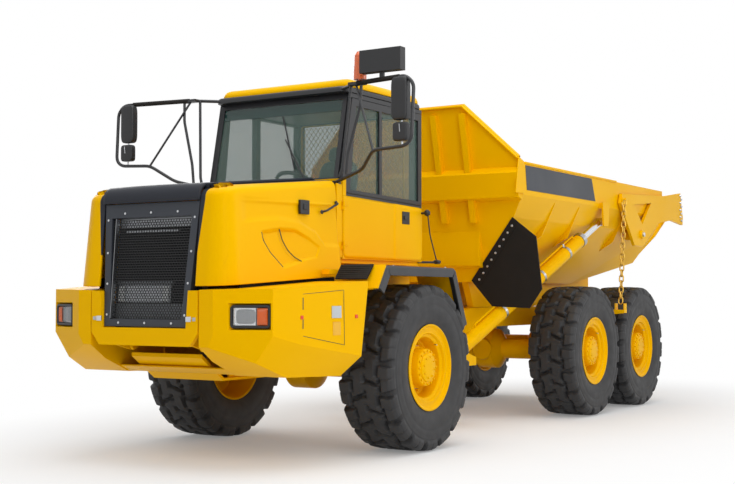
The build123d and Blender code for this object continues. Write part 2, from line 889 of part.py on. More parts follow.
door_opening_top = 3398
with BuildPart() as cab_frame:
    with BuildSketch(Plane.YZ.offset(-cab_half_width)):
        Polygon(
            *side(
                [
                    (cab_front + 80, belt_z),
                    (cab_front + 80, pillar_foot_z),
                    (cab_front, pillar_foot_z),
                    (-415, cab_top),
                    (cab_rear, cab_top),
                    (cab_rear, belt_z),
                ]
            ),
            align=None,
        )
    extrude(amount=2 * cab_half_width)
    with BuildSketch(Plane.YZ.offset(-cab_half_width + 60)):
        Polygon(
            *side(
                [
                    (cab_front + 130, belt_z - 10),
                    (-350, cab_top - 60),
                    (cab_rear - 60, cab_top - 60),
                    (cab_rear - 60, belt_z - 10),
                ]
            ),
            align=None,
        )
    extrude(amount=cab_half_width - 60 + cab_skin - 50, mode=Mode.SUBTRACT)
    with BuildSketch(Plane.YZ.offset(cab_skin)):
        with Locations((at(200), door_opening_top - 700)):
            Rectangle(2000, 1400)
    extrude(amount=100, mode=Mode.SUBTRACT)
    with BuildSketch(Plane.YZ.offset(-cab_half_width - 10)):
        Polygon(
            *side([(cab_front + 165, belt_z + 70), (-318, 3360), (120, 3360), (120, belt_z + 70)]),
            align=None,
        )
        Polygon(
            *side([(190, belt_z + 70), (190, 3360), (cab_rear - 80, 3360), (cab_rear - 80, belt_z + 70)]),
            align=None,
        )
    extrude(amount=300, mode=Mode.SUBTRACT)
    with BuildSketch(Plane.YZ.offset(cab_skin - 200)):
        Polygon(
            *side(
                [
                    (cab_front + 100, belt_z - 10),
                    (cab_front + 140, pillar_foot_z),
                    (-330, 3360),
                    (cab_rear - 80, 3360),
                    (cab_rear - 80, belt_z - 10),
                ]
            ),
            align=None,
        )
    extrude(amount=300, mode=Mode.SUBTRACT)
    with BuildSketch(Plane.XZ.offset(-at(-800))):
        Polygon((-735, pillar_foot_z + 15), (715, pillar_foot_z + 15), (715, 3385), (-735, 3385), align=None)
    extrude(amount=-700, mode=Mode.SUBTRACT)
    with BuildSketch(Plane.XZ.offset(-at(700))):
        Polygon((-700, belt_z + 70), (680, belt_z + 70), (680, 3360), (-700, 3360), align=None)
    extrude(amount=-400, mode=Mode.SUBTRACT)
save(cab_frame.part, "cab_frame")

with BuildPart() as cab_roof:
    with BuildSketch(Plane.XY.offset(cab_top)):
        with Locations((0, at((cab_rear - 450) / 2))):
            RectangleRounded(2 * cab_half_width, cab_rear + 450, 90)
    extrude(amount=160, taper=22)
save(cab_roof.part, "cab_roof")

# Cab glass: windshield, right windows, rear window
glass_thickness = 6
with BuildPart() as windshield:
    with BuildSketch(Plane.YZ.offset(-735 + seat_gap)):
        Polygon(
            *side(
                [
                    (-572, pillar_foot_z + 15 + seat_gap),
                    (-412, 3385 - seat_gap),
                    (-412 + glass_thickness, 3385 - seat_gap),
                    (-572 + glass_thickness, pillar_foot_z + 15 + seat_gap),
                ]
            ),
            align=None,
        )
    extrude(amount=1450 - 2 * seat_gap)
with BuildPart() as right_glass:
    with BuildSketch(Plane.YZ.offset(-cab_half_width + 20)):
        Polygon(*side([(cab_front + 165, belt_z + 70), (-318, 3360), (120, 3360), (120, belt_z + 70)]), align=None)
        Polygon(
            *side([(190, belt_z + 70), (190, 3360), (cab_rear - 80, 3360), (cab_rear - 80, belt_z + 70)]),
            align=None,
        )
    extrude(amount=glass_thickness)
with BuildPart() as rear_glass:
    with BuildSketch(Plane.XZ.offset(-at(cab_rear - 20))):
        Polygon((-700, belt_z + 70), (680, belt_z + 70), (680, 3360), (-700, 3360), align=None)
    extrude(amount=glass_thickness)
save_solids([windshield.part, right_glass.part, rear_glass.part], "cab_glass")

# Cab door on the left: yellow lower panel, dark window frame, glass
door_front = cab_front + 22
door_rear = cab_rear - 12
door_bottom = 1835
door_inner_x = cab_skin + door_gap
door_outer_x = cab_half_width + door_gap
door_split = 2440
door_lean_top = (-398, 3392)

with BuildPart() as door_panel:
    with BuildSketch(Plane.YZ.offset(door_inner_x)):
        Polygon(
            *side(
                [
                    (door_front, door_bottom),
                    (door_front, 2600),
                    (door_front + 60, 2600),
                    (door_front + 60, door_split),
                    (door_rear, door_split - 40),
                    (door_rear, door_bottom),
                ]
            ),
            align=None,
        )
    extrude(amount=door_outer_x - door_inner_x)
    with BuildSketch(Plane.YZ.offset(door_inner_x - 1)):
        Polygon(
            *side(
                [
                    (door_front + 70, door_bottom + 60),
                    (door_front + 70, door_split - 70),
                    (door_rear - 60, door_split - 100),
                    (door_rear - 60, door_bottom + 60),
                ]
            ),
            align=None,
        )
    extrude(amount=door_outer_x - door_inner_x - 11, mode=Mode.SUBTRACT)
    for hinge_z in door_hinge_heights:
        with BuildSketch(Plane.XY.offset(hinge_z + seat_gap)):
            with Locations((door_hinge_x, at(door_hinge_distance))):
                Circle(knuckle_radius)
            with Locations((door_outer_x + 5, at(door_hinge_distance + 45))):
                Rectangle(14, 90)
            with Locations((door_hinge_x, at(door_hinge_distance))):
                Circle(door_pin_radius + seat_gap, mode=Mode.SUBTRACT)
        extrude(amount=knuckle_height)
save(door_panel.part, "door_panel")

with BuildPart() as door_window_frame:
    with BuildSketch(Plane.YZ.offset(door_inner_x)):
        Polygon(
            *side(
                [
                    (door_front, 2600 + seat_gap),
                    (door_front + 60 + seat_gap, 2600 + seat_gap),
                    (door_front + 60 + seat_gap, door_split + seat_gap),
                    (door_rear, door_split - 40 + seat_gap),
                    (door_rear, door_lean_top[1]),
                    door_lean_top,
                ]
            ),
            align=None,
        )
        Polygon(
            *side([(door_front + 130, door_split + 60), (-325, 3320), (100, 3320), (100, door_split + 50)]),
            align=None,
            mode=Mode.SUBTRACT,
        )
        Polygon(
            *side([(150, door_split + 48), (150, 3320), (door_rear - 70, 3320), (door_rear - 70, door_split + 30)]),
            align=None,
            mode=Mode.SUBTRACT,
        )
    extrude(amount=door_outer_x - door_inner_x)
save(door_window_frame.part, "door_window_frame")

with BuildPart() as door_glass:
    with BuildSketch(Plane.YZ.offset(door_inner_x + 15)):
        Polygon(
            *side([(door_front + 130, door_split + 60), (-325, 3320), (100, 3320), (100, door_split + 50)]),
            align=None,
        )
        Polygon(
            *side([(150, door_split + 48), (150, 3320), (door_rear - 70, 3320), (door_rear - 70, door_split + 30)]),
            align=None,
        )
    extrude(amount=glass_thickness)
save(door_glass.part, "door_glass")

# Driver's place: seat, dashboard with steering wheel, guard inside the rear window
with BuildPart() as operator_seat:
    with BuildSketch(Plane.YZ.offset(-260)):
        Polygon(
            *side(
                [
                    (80, cab_floor + cab_wall),
                    (80, 2230),
                    (10, 2250),
                    (10, 2370),
                    (470, 2345),
                    (590, 3060),
                    (690, 3050),
                    (600, 2230),
                    (520, 2230),
                    (520, cab_floor + cab_wall),
                ]
            ),
            align=None,
        )
    extrude(amount=520)
    fillet(operator_seat.edges().filter_by(lambda e: e.center().Z > 3000), 30)
save(operator_seat.part, "operator_seat")

with BuildPart() as dashboard:
    with BuildSketch(Plane.YZ.offset(-620)):
        Polygon(
            *side(
                [
                    (cab_front + cab_wall, cab_floor + cab_wall),
                    (cab_front + cab_wall, belt_z - 5),
                    (cab_front + 136, belt_z - 5),
                    (cab_front + 160, 2590),
                    (-380, 2590),
                    (-250, 2480),
                    (-300, 2330),
                    (-470, cab_floor + cab_wall),
                ]
            ),
            align=None,
        )
    extrude(amount=1240)
    with BuildSketch(Plane(origin=(0, at(-330), 2380), x_dir=(1, 0, 0), z_dir=(0, 0.5, 0.87))):
        Circle(38)
    extrude(amount=260)
    with BuildSketch(Plane(origin=(0, at(-205), 2600), x_dir=(1, 0, 0), z_dir=(0, 0.5, 0.87))):
        Circle(215)
        Circle(185, mode=Mode.SUBTRACT)
        Rectangle(400, 40)
    extrude(amount=28)
save(dashboard.part, "dashboard")

guard_distance = cab_rear - 120
with BuildPart() as window_guard:
    with BuildSketch(Plane.XZ.offset(-at(guard_distance))):
        Rectangle(1320, 900)
        Rectangle(1260, 840, mode=Mode.SUBTRACT)
        with GridLocations(210, 0, 6, 1):
            Rectangle(14, 880)
        with GridLocations(0, 210, 1, 3):
            Rectangle(1300, 14)
    extrude(amount=12)
window_guard_part = Pos(0, 0, 2905) * window_guard.part
with BuildPart() as guard_mounts:
    for mount_x in (-640, 640):
        for mount_z in (2475, 3340):
            with BuildSketch(Plane.XZ.offset(-at(guard_distance))):
                with Locations((mount_x, mount_z)):
                    Rectangle(30, 30)
            extrude(amount=-(cab_rear - 60 - guard_distance))
with BuildPart() as window_guard_full:
    add(window_guard_part)
    add(guard_mounts.part)
save(window_guard_full.part, "window_guard")


def tube(points, radius):
    """Bent tube through (x, distance behind the front axle, height) points, mitred at its corners."""
    path_points = [Vector(x, at(distance), z) for x, distance, z in points]
    with BuildPart() as run:
        with BuildLine() as path:
            Polyline(*path_points)
        with BuildSketch(Plane(origin=path_points[0], z_dir=path_points[1] - path_points[0])):
            RegularPolygon(radius, 8)
        sweep(transition=Transition.RIGHT)
    return run.part


# Mirrors: tube frame from the roof corner and the pillar foot, a large and a small head
mirror_tube = 17
mirror_head = (1626, -852, cab_top - 181)
mirror_small_head = (1640, -870, 2960)
mirror_arm = [
    (705, -462, cab_top + 28),
    (1000, -640, cab_top + 40),
    (1690, -886, cab_top + 12),
    (1770, -888, cab_top - 60),
    (1766, -918, 2880),
    (1700, -912, 2822),
    (1340, -884, 2807),
    (1130, -740, 2650),
    (740, -606, 2570),
]
with BuildPart() as mirror_frame:
    add(tube(mirror_arm, mirror_tube))
    add(tube([mirror_arm[1], mirror_arm[6]], mirror_tube * 0.7))
    add(tube([(985, -631, cab_top + 39), (940, -675, 2611)], mirror_tube * 0.8))
    for flange_x, flange_z, flange_front, flange_rear in (
        (705, cab_top + 28, -468, -450 - seat_gap),
        (740, 2570, -614, cab_front - seat_gap),
    ):
        with BuildSketch(Plane.XZ.offset(-at(flange_front))):
            with Locations((flange_x, flange_z)):
                Rectangle(50, 50)
        extrude(amount=flange_front - flange_rear)
    for head, half_w, half_h in ((mirror_head, 120, 185), (mirror_small_head, 95, 75)):
        with BuildSketch(Plane.XZ.offset(-at(head[1] - 40))):
            with Locations((head[0] + 20, head[2])):
                Rectangle(2 * half_w, 2 * half_h)
        extrude(amount=-80)
save_solids(both_sides(mirror_frame.part), "mirrors")

# Lamp box and beacon above the left roof corner
lamp_box_x = 1370
lamp_box_distance = -772
lamp_box_bottom = cab_top + 95
lamp_box_foot_z = cab_top + 43.2
with BuildPart() as lamp_box:
    with BuildSketch(Plane.XZ.offset(-at(lamp_box_distance - 45))):
        with Locations((lamp_box_x, lamp_box_bottom + 105)):
            Rectangle(440, 210)
    extrude(amount=-90)
    with BuildSketch(Plane.XY.offset(lamp_box_foot_z)):
        with Locations((lamp_box_x, at(lamp_box_distance))):
            Rectangle(40, 30)
    extrude(amount=lamp_box_bottom - lamp_box_foot_z)
save(lamp_box.part, "lamp_box")

beacon_x = 1060
beacon_distance = -661
beacon_foot_z = cab_top + 55.6
with BuildPart() as beacon:
    with BuildSketch(Plane.XZ.offset(-at(beacon_distance))):
        Polygon(
            (beacon_x, beacon_foot_z),
            (beacon_x + 14, beacon_foot_z),
            (beacon_x + 14, beacon_foot_z + 12),
            (beacon_x + 62, beacon_foot_z + 12),
            (beacon_x + 62, beacon_foot_z + 50),
            (beacon_x + 52, beacon_foot_z + 240),
            (beacon_x + 30, beacon_foot_z + 275),
            (beacon_x, beacon_foot_z + 275),
            align=None,
        )
    revolve(axis=Axis((beacon_x, at(beacon_distance), beacon_foot_z), (0, 0, 1)))
save(beacon.part, "beacon")

# Articulation: yaw block on its pin, with the trunnion that lets the rear frame roll
trunnion_z = 1000
trunnion_radius = 120
block_half_width = 130
block_gap = 7
trunnion_front = 1540
trunnion_end = 1880
cylinder_ear_x = 300
cylinder_ear_distance = 1500

with BuildPart() as hitch:
    with BuildSketch(Plane.XY.offset(lower_ear_z + block_gap)):
        with Locations((0, at(yaw_distance))):
            Circle(block_half_width)
        Polygon(
            *plan(
                [
                    (-block_half_width, yaw_distance),
                    (block_half_width, yaw_distance),
                    (block_half_width, trunnion_front + 20),
                    (-block_half_width, trunnion_front + 20),
                ]
            ),
            align=None,
        )
    extrude(amount=upper_ear_z - lower_ear_z - 2 * block_gap)
    with BuildSketch(Plane.XY.offset(lower_ear_z - ear_thickness)):
        with Locations((0, at(yaw_distance))):
            Circle(pin_radius)
    extrude(amount=upper_ear_z + 2 * ear_thickness - lower_ear_z)
    with BuildSketch(Plane.XZ.offset(-at(trunnion_front))):
        with Locations((0, trunnion_z)):
            Circle(trunnion_radius)
    extrude(amount=-(trunnion_end - trunnion_front))
    for plate_z in (steer_z - 85, steer_z + 55):
        with BuildSketch(Plane.XY.offset(plate_z)):
            with Locations((0, at(cylinder_ear_distance))):
                Rectangle(2 * cylinder_ear_x, 110)
            with Locations((-cylinder_ear_x, at(cylinder_ear_distance)), (cylinder_ear_x, at(cylinder_ear_distance))):
                Circle(75)
        extrude(amount=30)
save(hitch.part, "hitch")


# Steering cylinders between the front frame and the yaw block
steer_barrel_length = 780
steer_barrel_radius = 55
steer_rod_radius = 32
rod_clearance = 0.3
steer_eye_radius = 52


def along_plane(start, direction, distance, across):
    """Plane square to a direction, this far along it from the start, its local x held level or upright."""
    return Plane(origin=start + direction * distance, x_dir=across, z_dir=direction)


for hand, cylinder_side in ((1, "left"), (-1, "right")):
    base = Vector(hand * steer_base_x, at(steer_base_distance), steer_z)
    eye = Vector(hand * cylinder_ear_x, at(cylinder_ear_distance), steer_z)
    along = (eye - base).normalized()
    span = (eye - base).length
    across = along.cross(Vector(0, 0, 1))
    with BuildPart() as steering_barrel:
        with BuildSketch(along_plane(base, along, 35, across)):
            Circle(38)
        extrude(amount=60)
        with BuildSketch(along_plane(base, along, 75, across)):
            Circle(steer_barrel_radius)
        extrude(amount=steer_barrel_length - 75)
        with BuildSketch(Plane(origin=base - Vector(0, 0, steer_eye_half), z_dir=(0, 0, 1))):
            Circle(steer_eye_radius)
        extrude(amount=2 * steer_eye_half)
        with BuildSketch(along_plane(base, along, 250, across)):
            Circle(steer_rod_radius + rod_clearance)
        extrude(amount=steer_barrel_length, mode=Mode.SUBTRACT)
        with BuildSketch(Plane(origin=base - Vector(0, 0, steer_eye_half), z_dir=(0, 0, 1))):
            Circle(steer_pin_radius + pin_clearance)
        extrude(amount=2 * steer_eye_half, mode=Mode.SUBTRACT)
    save(steering_barrel.part, f"steering_barrel_{cylinder_side}")
    with BuildPart() as steering_rod:
        with BuildSketch(along_plane(base, along, 500, across)):
            Circle(steer_rod_radius)
        extrude(amount=span - 500 - 20)
        with BuildSketch(Plane(origin=eye - Vector(0, 0, steer_eye_half), z_dir=(0, 0, 1))):
            Circle(steer_eye_radius)
        extrude(amount=2 * steer_eye_half)
    save(steering_rod.part, f"steering_rod_{cylinder_side}")

# Rear frame: bearing ring on the trunnion, neck, rails, cross members and the bin's pivot tube
ring_front = 1590
ring_rear = 1800
ring_radius = 215
trunnion_clearance = 0.4
rear_rail_x = 450
rear_rail_width = 80
rear_rail_bottom = 1105
rear_rail_top = 1340
rear_rail_end = 6240
tip_distance = 6200
tip_z = 1450
tip_pin_radius = 60
bogie_distance = (mid_axle_distance + rear_axle_distance) / 2
bogie_pin_radius = 65
beam_inner_x = 600
beam_width = 130
hoist_base = (740, 1850, 850)
hoist_eye = (1345, 4600, 2420)
hoist_ear = 22
hoist_pin_radius = 30
hoist_ball_radius = 55
hoist_ball_clearance = 1.5
hoist_eye_half = 38
hoist_ear_gap = 30
chain_x = 1460
chain_top = (5185, 2745)
chain_foot = (bogie_distance, 1380)
chain_pin_radius = 14
chain_ear_gap = 52

with BuildPart() as rear_chassis:
    with BuildSketch(cross_plane(ring_front)):
        with Locations((0, trunnion_z)):
            Circle(ring_radius)
    extrude(amount=-(ring_rear - ring_front))
    with BuildSketch(Plane.XY.offset(880)):
        Polygon(
            *plan(
                [
                    (-200, 1700),
                    (200, 1700),
                    (490, 2450),
                    (490, 2900),
                    (410, 2900),
                    (410, 2560),
                    (240, 2150),
                    (-240, 2150),
                    (-410, 2560),
                    (-410, 2900),
                    (-490, 2900),
                    (-490, 2450),
                ]
            ),
            align=None,
        )
    extrude(amount=500)
    with BuildSketch(Plane.YZ.offset(-600)):
        Polygon(
            *side(
                [
                    (1600, 700),
                    (2950, 700),
                    (2950, rear_rail_bottom),
                    (2600, 880),
                    (1600, 880),
                ]
            ),
            align=None,
        )
        Polygon(
            *side(
                [
                    (1600, 1500),
                    (1600, 1180),
                    (1900, 1180),
                    (2700, rear_rail_top),
                    (2950, rear_rail_top),
                    (2950, 1500),
                ]
            ),
            align=None,
        )
    extrude(amount=1200, mode=Mode.SUBTRACT)
    for rail_centre in (-rear_rail_x, rear_rail_x):
        with BuildSketch(Plane.YZ.offset(rail_centre - rear_rail_width / 2)):
            Polygon(
                *side(
                    [
                        (2850, rear_rail_bottom),
                        (rear_rail_end - 250, rear_rail_bottom),
                        (rear_rail_end, rear_rail_bottom + 60),
                        (rear_rail_end, rear_rail_top - 40),
                        (rear_rail_end - 140, rear_rail_top - 40),
                        (rear_rail_end - 200, rear_rail_top),
                        (2850, rear_rail_top),
                    ]
                ),
                align=None,
            )
        extrude(amount=rear_rail_width)
    for member_distance, member_bottom, member_top in (
        (2800, rear_rail_bottom + 20, rear_rail_top - 60),
        (bogie_distance, rear_rail_bottom + 20, rear_rail_top - 60),
        (rear_rail_end - 100, rear_rail_bottom + 70, rear_rail_top - 50),
    ):
        with BuildSketch(Plane.XY.offset(member_bottom)):
            with Locations((0, at(member_distance))):
                Rectangle(2 * rear_rail_x, 150)
        extrude(amount=member_top - member_bottom)
    for hand in (-1, 1):
        with BuildSketch(Plane.YZ.offset(hand * 365 - 35)):
            Polygon(
                *side(
                    [
                        (tip_distance - 200, 1200),
                        (tip_distance + 20, 1200),
                        (tip_distance + 90, tip_z),
                        (tip_distance - 90, tip_z),
                    ]
                ),
                align=None,
            )
            with Locations((at(tip_distance), tip_z)):
                Circle(90)
        extrude(amount=70)
        with BuildSketch(Plane.YZ.offset(hand * rear_rail_x - rear_rail_width / 2)):
            Polygon(
                *side(
                    [
                        (bogie_distance - 220, rear_rail_bottom + 30),
                        (bogie_distance + 220, rear_rail_bottom + 30),
                        (bogie_distance + 95, axle_z),
                        (bogie_distance - 95, axle_z),
                    ]
                ),
                align=None,
            )
            with Locations((at(bogie_distance), axle_z)):
                Circle(95)
        extrude(amount=rear_rail_width)
        with BuildSketch(Plane.XZ.offset(-at(bogie_distance - 45))):
            Polygon(
                (hand * (rear_rail_x + 20), rear_rail_top - 20),
                (hand * (chain_x + 67), chain_foot[1] - 85),
                (hand * (chain_x + 67), chain_foot[1] - 125),
                (hand * (rear_rail_x + 20), rear_rail_bottom + 40),
                align=None,
            )
        extrude(amount=-90)
        for ear_x in (chain_x - chain_ear_gap - 15, chain_x + chain_ear_gap):
            with BuildSketch(Plane.YZ.offset(min(hand * ear_x, hand * (ear_x + 15)))):
                with Locations((at(bogie_distance), chain_foot[1] - 50)):
                    Rectangle(80, 100)
            extrude(amount=15)
        for ear_x in (
            hoist_base[0] - hoist_eye_half - hoist_ear_gap - hoist_ear,
            hoist_base[0] + hoist_eye_half + hoist_ear_gap,
        ):
            low_x = min(hand * ear_x, hand * (ear_x + hoist_ear))
            with BuildSketch(Plane.YZ.offset(low_x)):
                with Locations((at(hoist_base[1]), hoist_base[2])):
                    Circle(80)
                Polygon(
                    *side(
                        [
                            (hoist_base[1] - 80, hoist_base[2]),
                            (hoist_base[1] - 60, hoist_base[2] - 150),
                            (hoist_base[1] + 300, hoist_base[2] - 150),
                            (hoist_base[1] + 300, hoist_base[2] - 60),
                            (hoist_base[1] + 80, hoist_base[2]),
                        ]
                    ),
                    align=None,
                )
            extrude(amount=hoist_ear)
        pin_half = hoist_eye_half + hoist_ear_gap + hoist_ear
        with BuildSketch(Plane.YZ.offset(hand * hoist_base[0] - pin_half)):
            with Locations((at(hoist_base[1]), hoist_base[2])):
                Circle(hoist_pin_radius)
        extrude(amount=2 * pin_half)
        with Locations((hand * hoist_base[0], at(hoist_base[1]), hoist_base[2])):
            Sphere(hoist_ball_radius, rotation=(0, 90, 0))
        with BuildSketch(Plane.XY.offset(hoist_base[2] - 150)):
            Polygon(
                *plan(
                    [
                        (hand * 180, hoist_base[1] - 60),
                        (hand * (hoist_base[0] + hoist_eye_half + hoist_ear_gap + hoist_ear), hoist_base[1] - 60),
                        (hand * (hoist_base[0] + hoist_eye_half + hoist_ear_gap + hoist_ear), hoist_base[1] + 300),
                        (hand * 400, hoist_base[1] + 620),
                        (hand * 300, hoist_base[1] + 620),
                        (hand * 180, hoist_base[1] + 300),
                    ]
                ),
                align=None,
            )
        extrude(amount=40)
    with BuildSketch(Plane.YZ.offset(-rear_rail_x - 50)):
        with Locations((at(tip_distance), tip_z)):
            Circle(tip_pin_radius)
    extrude(amount=2 * (rear_rail_x + 50))
    with BuildSketch(Plane.YZ.offset(-beam_inner_x - beam_width - 20)):
        with Locations((at(bogie_distance), axle_z)):
            Circle(bogie_pin_radius)
    extrude(amount=2 * (beam_inner_x + beam_width + 20))
    with BuildSketch(Plane.XY.offset(700)):
        with Locations((0, at(1900))):
            Rectangle(420, 420)
    extrude(amount=250)
    with BuildSketch(cross_plane(ring_front - 10)):
        with Locations((0, trunnion_z)):
            Circle(trunnion_radius + trunnion_clearance)
    extrude(amount=-(trunnion_end - ring_front + 20), mode=Mode.SUBTRACT)
save(rear_chassis.part, "rear_chassis")

# Mid and rear axles with the walking beams that carry them
mid_axle_body = axle(mid_axle_distance, 260, -1)
rear_axle_body = axle(rear_axle_distance, 260, -1)
save_solids([mid_axle_body, rear_axle_body], "rear_axles")

beam_top = axle_z - axle_tube_radius
with BuildPart() as walking_beam:
    with BuildSketch(Plane.YZ.offset(beam_inner_x)):
        Polygon(
            *side(
                [
                    (mid_axle_distance - 90, beam_top),
                    (mid_axle_distance - 90, beam_top - 90),
                    (mid_axle_distance + 120, beam_top - 120),
                    (rear_axle_distance - 120, beam_top - 120),
                    (rear_axle_distance + 90, beam_top - 90),
                    (rear_axle_distance + 90, beam_top),
                    (rear_axle_distance - 130, beam_top),
                    (bogie_distance + 150, axle_z + 90),
                    (bogie_distance - 150, axle_z + 90),
                    (mid_axle_distance + 130, beam_top),
                ]
            ),
            align=None,
        )
        with Locations((at(bogie_distance), axle_z)):
            Circle(bogie_pin_radius + 0.3, mode=Mode.SUBTRACT)
    extrude(amount=beam_width)
save_solids(both_sides(walking_beam.part), "walking_beams")

# Load bin: trough of three sections, leaning front wall, bolsters and hinge ears.
# Each section: distance behind the front axle, floor height, half width of the floor.
bin_sections = ((1900, 1640, 620), (5350, 1640, 620), (6920, 1950, 930))
flank_x = 1243
flank_z = 2360
rail_foot_z = 2610
bin_top = 2970
bin_half = bin_width / 2
bin_wall = 30
bin_rail_depth = 80
front_wall_foot = 2440
front_wall_rise = 0.235
front_wall_plate = 45
bolster_gap = 6
gate_pivot = (5884, 2308)
gate_pin_radius = 35
arm_x = 1392
arm_plate = 40
gate_gap = 6


def trough(grow):
    """Solid form of the trough between its sections, with its walls moved inward by the amount."""
    sections = []
    for distance, floor_z, floor_half in bin_sections:
        low = floor_z + grow * 1.2
        half = floor_half - 0.45 * grow
        top = bin_top + 20 * grow
        rail_x_in = bin_half - (bin_rail_depth if grow else 0)
        corners = [
            (-half, low),
            (half, low),
            (flank_x - 1.15 * grow, flank_z + 0.4 * grow),
            (rail_x_in, rail_foot_z + grow * 0.6),
            (rail_x_in, top),
            (-rail_x_in, top),
            (-rail_x_in, rail_foot_z + grow * 0.6),
            (-flank_x + 1.15 * grow, flank_z + 0.4 * grow),
        ]
        place = distance + (20 * grow if distance == bin_sections[-1][0] and grow else 0)
        sections.append([Vector(x, at(place), z) for x, z in corners])
    return flat_solid(sections)


front_wall_angle = degrees(atan2(front_wall_rise, 1))
front_wall_plane = Plane(
    origin=(0, at(front_wall_foot), 1640),
    x_dir=(1, 0, 0),
    z_dir=(0, -cos(radians(front_wall_angle)), -sin(radians(front_wall_angle))),
)
wall_stretch = hypot(1, front_wall_rise)

with BuildPart() as bin_body:
    add(trough(0))
    add(trough(bin_wall), mode=Mode.SUBTRACT)
    with BuildSketch(front_wall_plane):
        with Locations((0, 700)):
            Rectangle(4000, 4000)
    extrude(amount=2000, mode=Mode.SUBTRACT)
    with BuildSketch(front_wall_plane):
        Polygon(
            (-620, 0),
            (620, 0),
            (flank_x, (flank_z - 1640) * wall_stretch),
            (bin_half, (rail_foot_z - 1640) * wall_stretch),
            (bin_half, (3035 - 1640) * wall_stretch),
            (760, (3640 - 1640) * wall_stretch),
            (-760, (3640 - 1640) * wall_stretch),
            (-bin_half, (3035 - 1640) * wall_stretch),
            (-bin_half, (rail_foot_z - 1640) * wall_stretch),
            (-flank_x, (flank_z - 1640) * wall_stretch),
            align=None,
        )
    extrude(amount=-front_wall_plate)
    with BuildSketch(front_wall_plane):
        for rib_x in (-760, -390, 390, 760):
            with Locations((rib_x, 1330)):
                Rectangle(70, 1250)
        with Locations((0, 260)):
            Rectangle(1500, 110)
        with Locations((0, 1130)):
            Rectangle(2500, 130)
    extrude(amount=70)
    for hand in (-1, 1):
        with BuildSketch(Plane.YZ.offset(hand * rear_rail_x - rear_rail_width / 2)):
            Polygon(
                *side(
                    [
                        (2600, 1645),
                        (2750, rear_rail_top + bolster_gap),
                        (tip_distance - 300, rear_rail_top + bolster_gap),
                        (tip_distance - 60, rear_rail_top + bolster_gap),
                        (tip_distance + 110, tip_z),
                        (tip_distance + 110, 1830),
                        (5350, 1655),
                    ]
                ),
                align=None,
            )
            with Locations((at(tip_distance), tip_z)):
                Circle(110)
                Circle(tip_pin_radius + pin_clearance, mode=Mode.SUBTRACT)
        extrude(amount=rear_rail_width)
        boss_low = min(hand * 1210, hand * (arm_x - gate_gap))
        with BuildSketch(Plane.YZ.offset(boss_low)):
            with Locations((at(gate_pivot[0]), gate_pivot[1])):
                Circle(75)
        extrude(amount=arm_x - gate_gap - 1210)
        with BuildSketch(Plane.YZ.offset(min(hand * 1280, hand * arm_x))):
            with Locations((at(gate_pivot[0]), gate_pivot[1])):
                Circle(gate_pin_radius + pin_clearance)
        extrude(amount=arm_x - 1280, mode=Mode.SUBTRACT)
        for ear_x in (
            hoist_eye[0] - hoist_eye_half - hoist_ear_gap - hoist_ear,
            hoist_eye[0] + hoist_eye_half + hoist_ear_gap,
        ):
            low_x = min(hand * ear_x, hand * (ear_x + hoist_ear))
            with BuildSketch(Plane.YZ.offset(low_x)):
                Polygon(
                    *side(
                        [
                            (hoist_eye[1] - 75, hoist_eye[2] - 60),
                            (hoist_eye[1] + 75, hoist_eye[2] - 60),
                            (hoist_eye[1] + 110, 2660),
                            (hoist_eye[1] - 110, 2660),
                        ]
                    ),
                    align=None,
                )
            extrude(amount=hoist_ear)
        with BuildSketch(Plane.XY.offset(2585)):
            with Locations((hand * hoist_eye[0], at(hoist_eye[1]))):
                Rectangle(2 * (hoist_eye_half + hoist_ear_gap + hoist_ear), 190)
        extrude(amount=70)
    for rib_distance in (3150, 3900, 5450):
        for hand in (-1, 1):
            with BuildSketch(Plane.XZ.offset(-at(rib_distance))):
                Polygon(
                    (hand * 1000, 2075),
                    (hand * 1190, 2190),
                    (hand * (bin_half - 20), 2560),
                    (hand * (bin_half - 20), 2660),
                    (hand * (flank_x - 10), flank_z),
                    align=None,
                )
            extrude(amount=-25)
save(bin_body.part, "bin_body")

# Mud flaps: stiff plates on the front wall's edges, in the wall's plane
flap_plate = 14
with BuildPart() as mud_flap:
    with BuildSketch(front_wall_plane):
        Polygon(
            *[
                (x, (z - 1640) * wall_stretch)
                for x, z in (
                    (630, 1660),
                    (860, 1362),
                    (1331, 1343),
                    (1505, 1556),
                    (1499, 2142),
                    (1231, 2365),
                )
            ],
            align=None,
        )
    extrude(amount=flap_plate)
save_solids(both_sides(mud_flap.part), "mud_flaps")

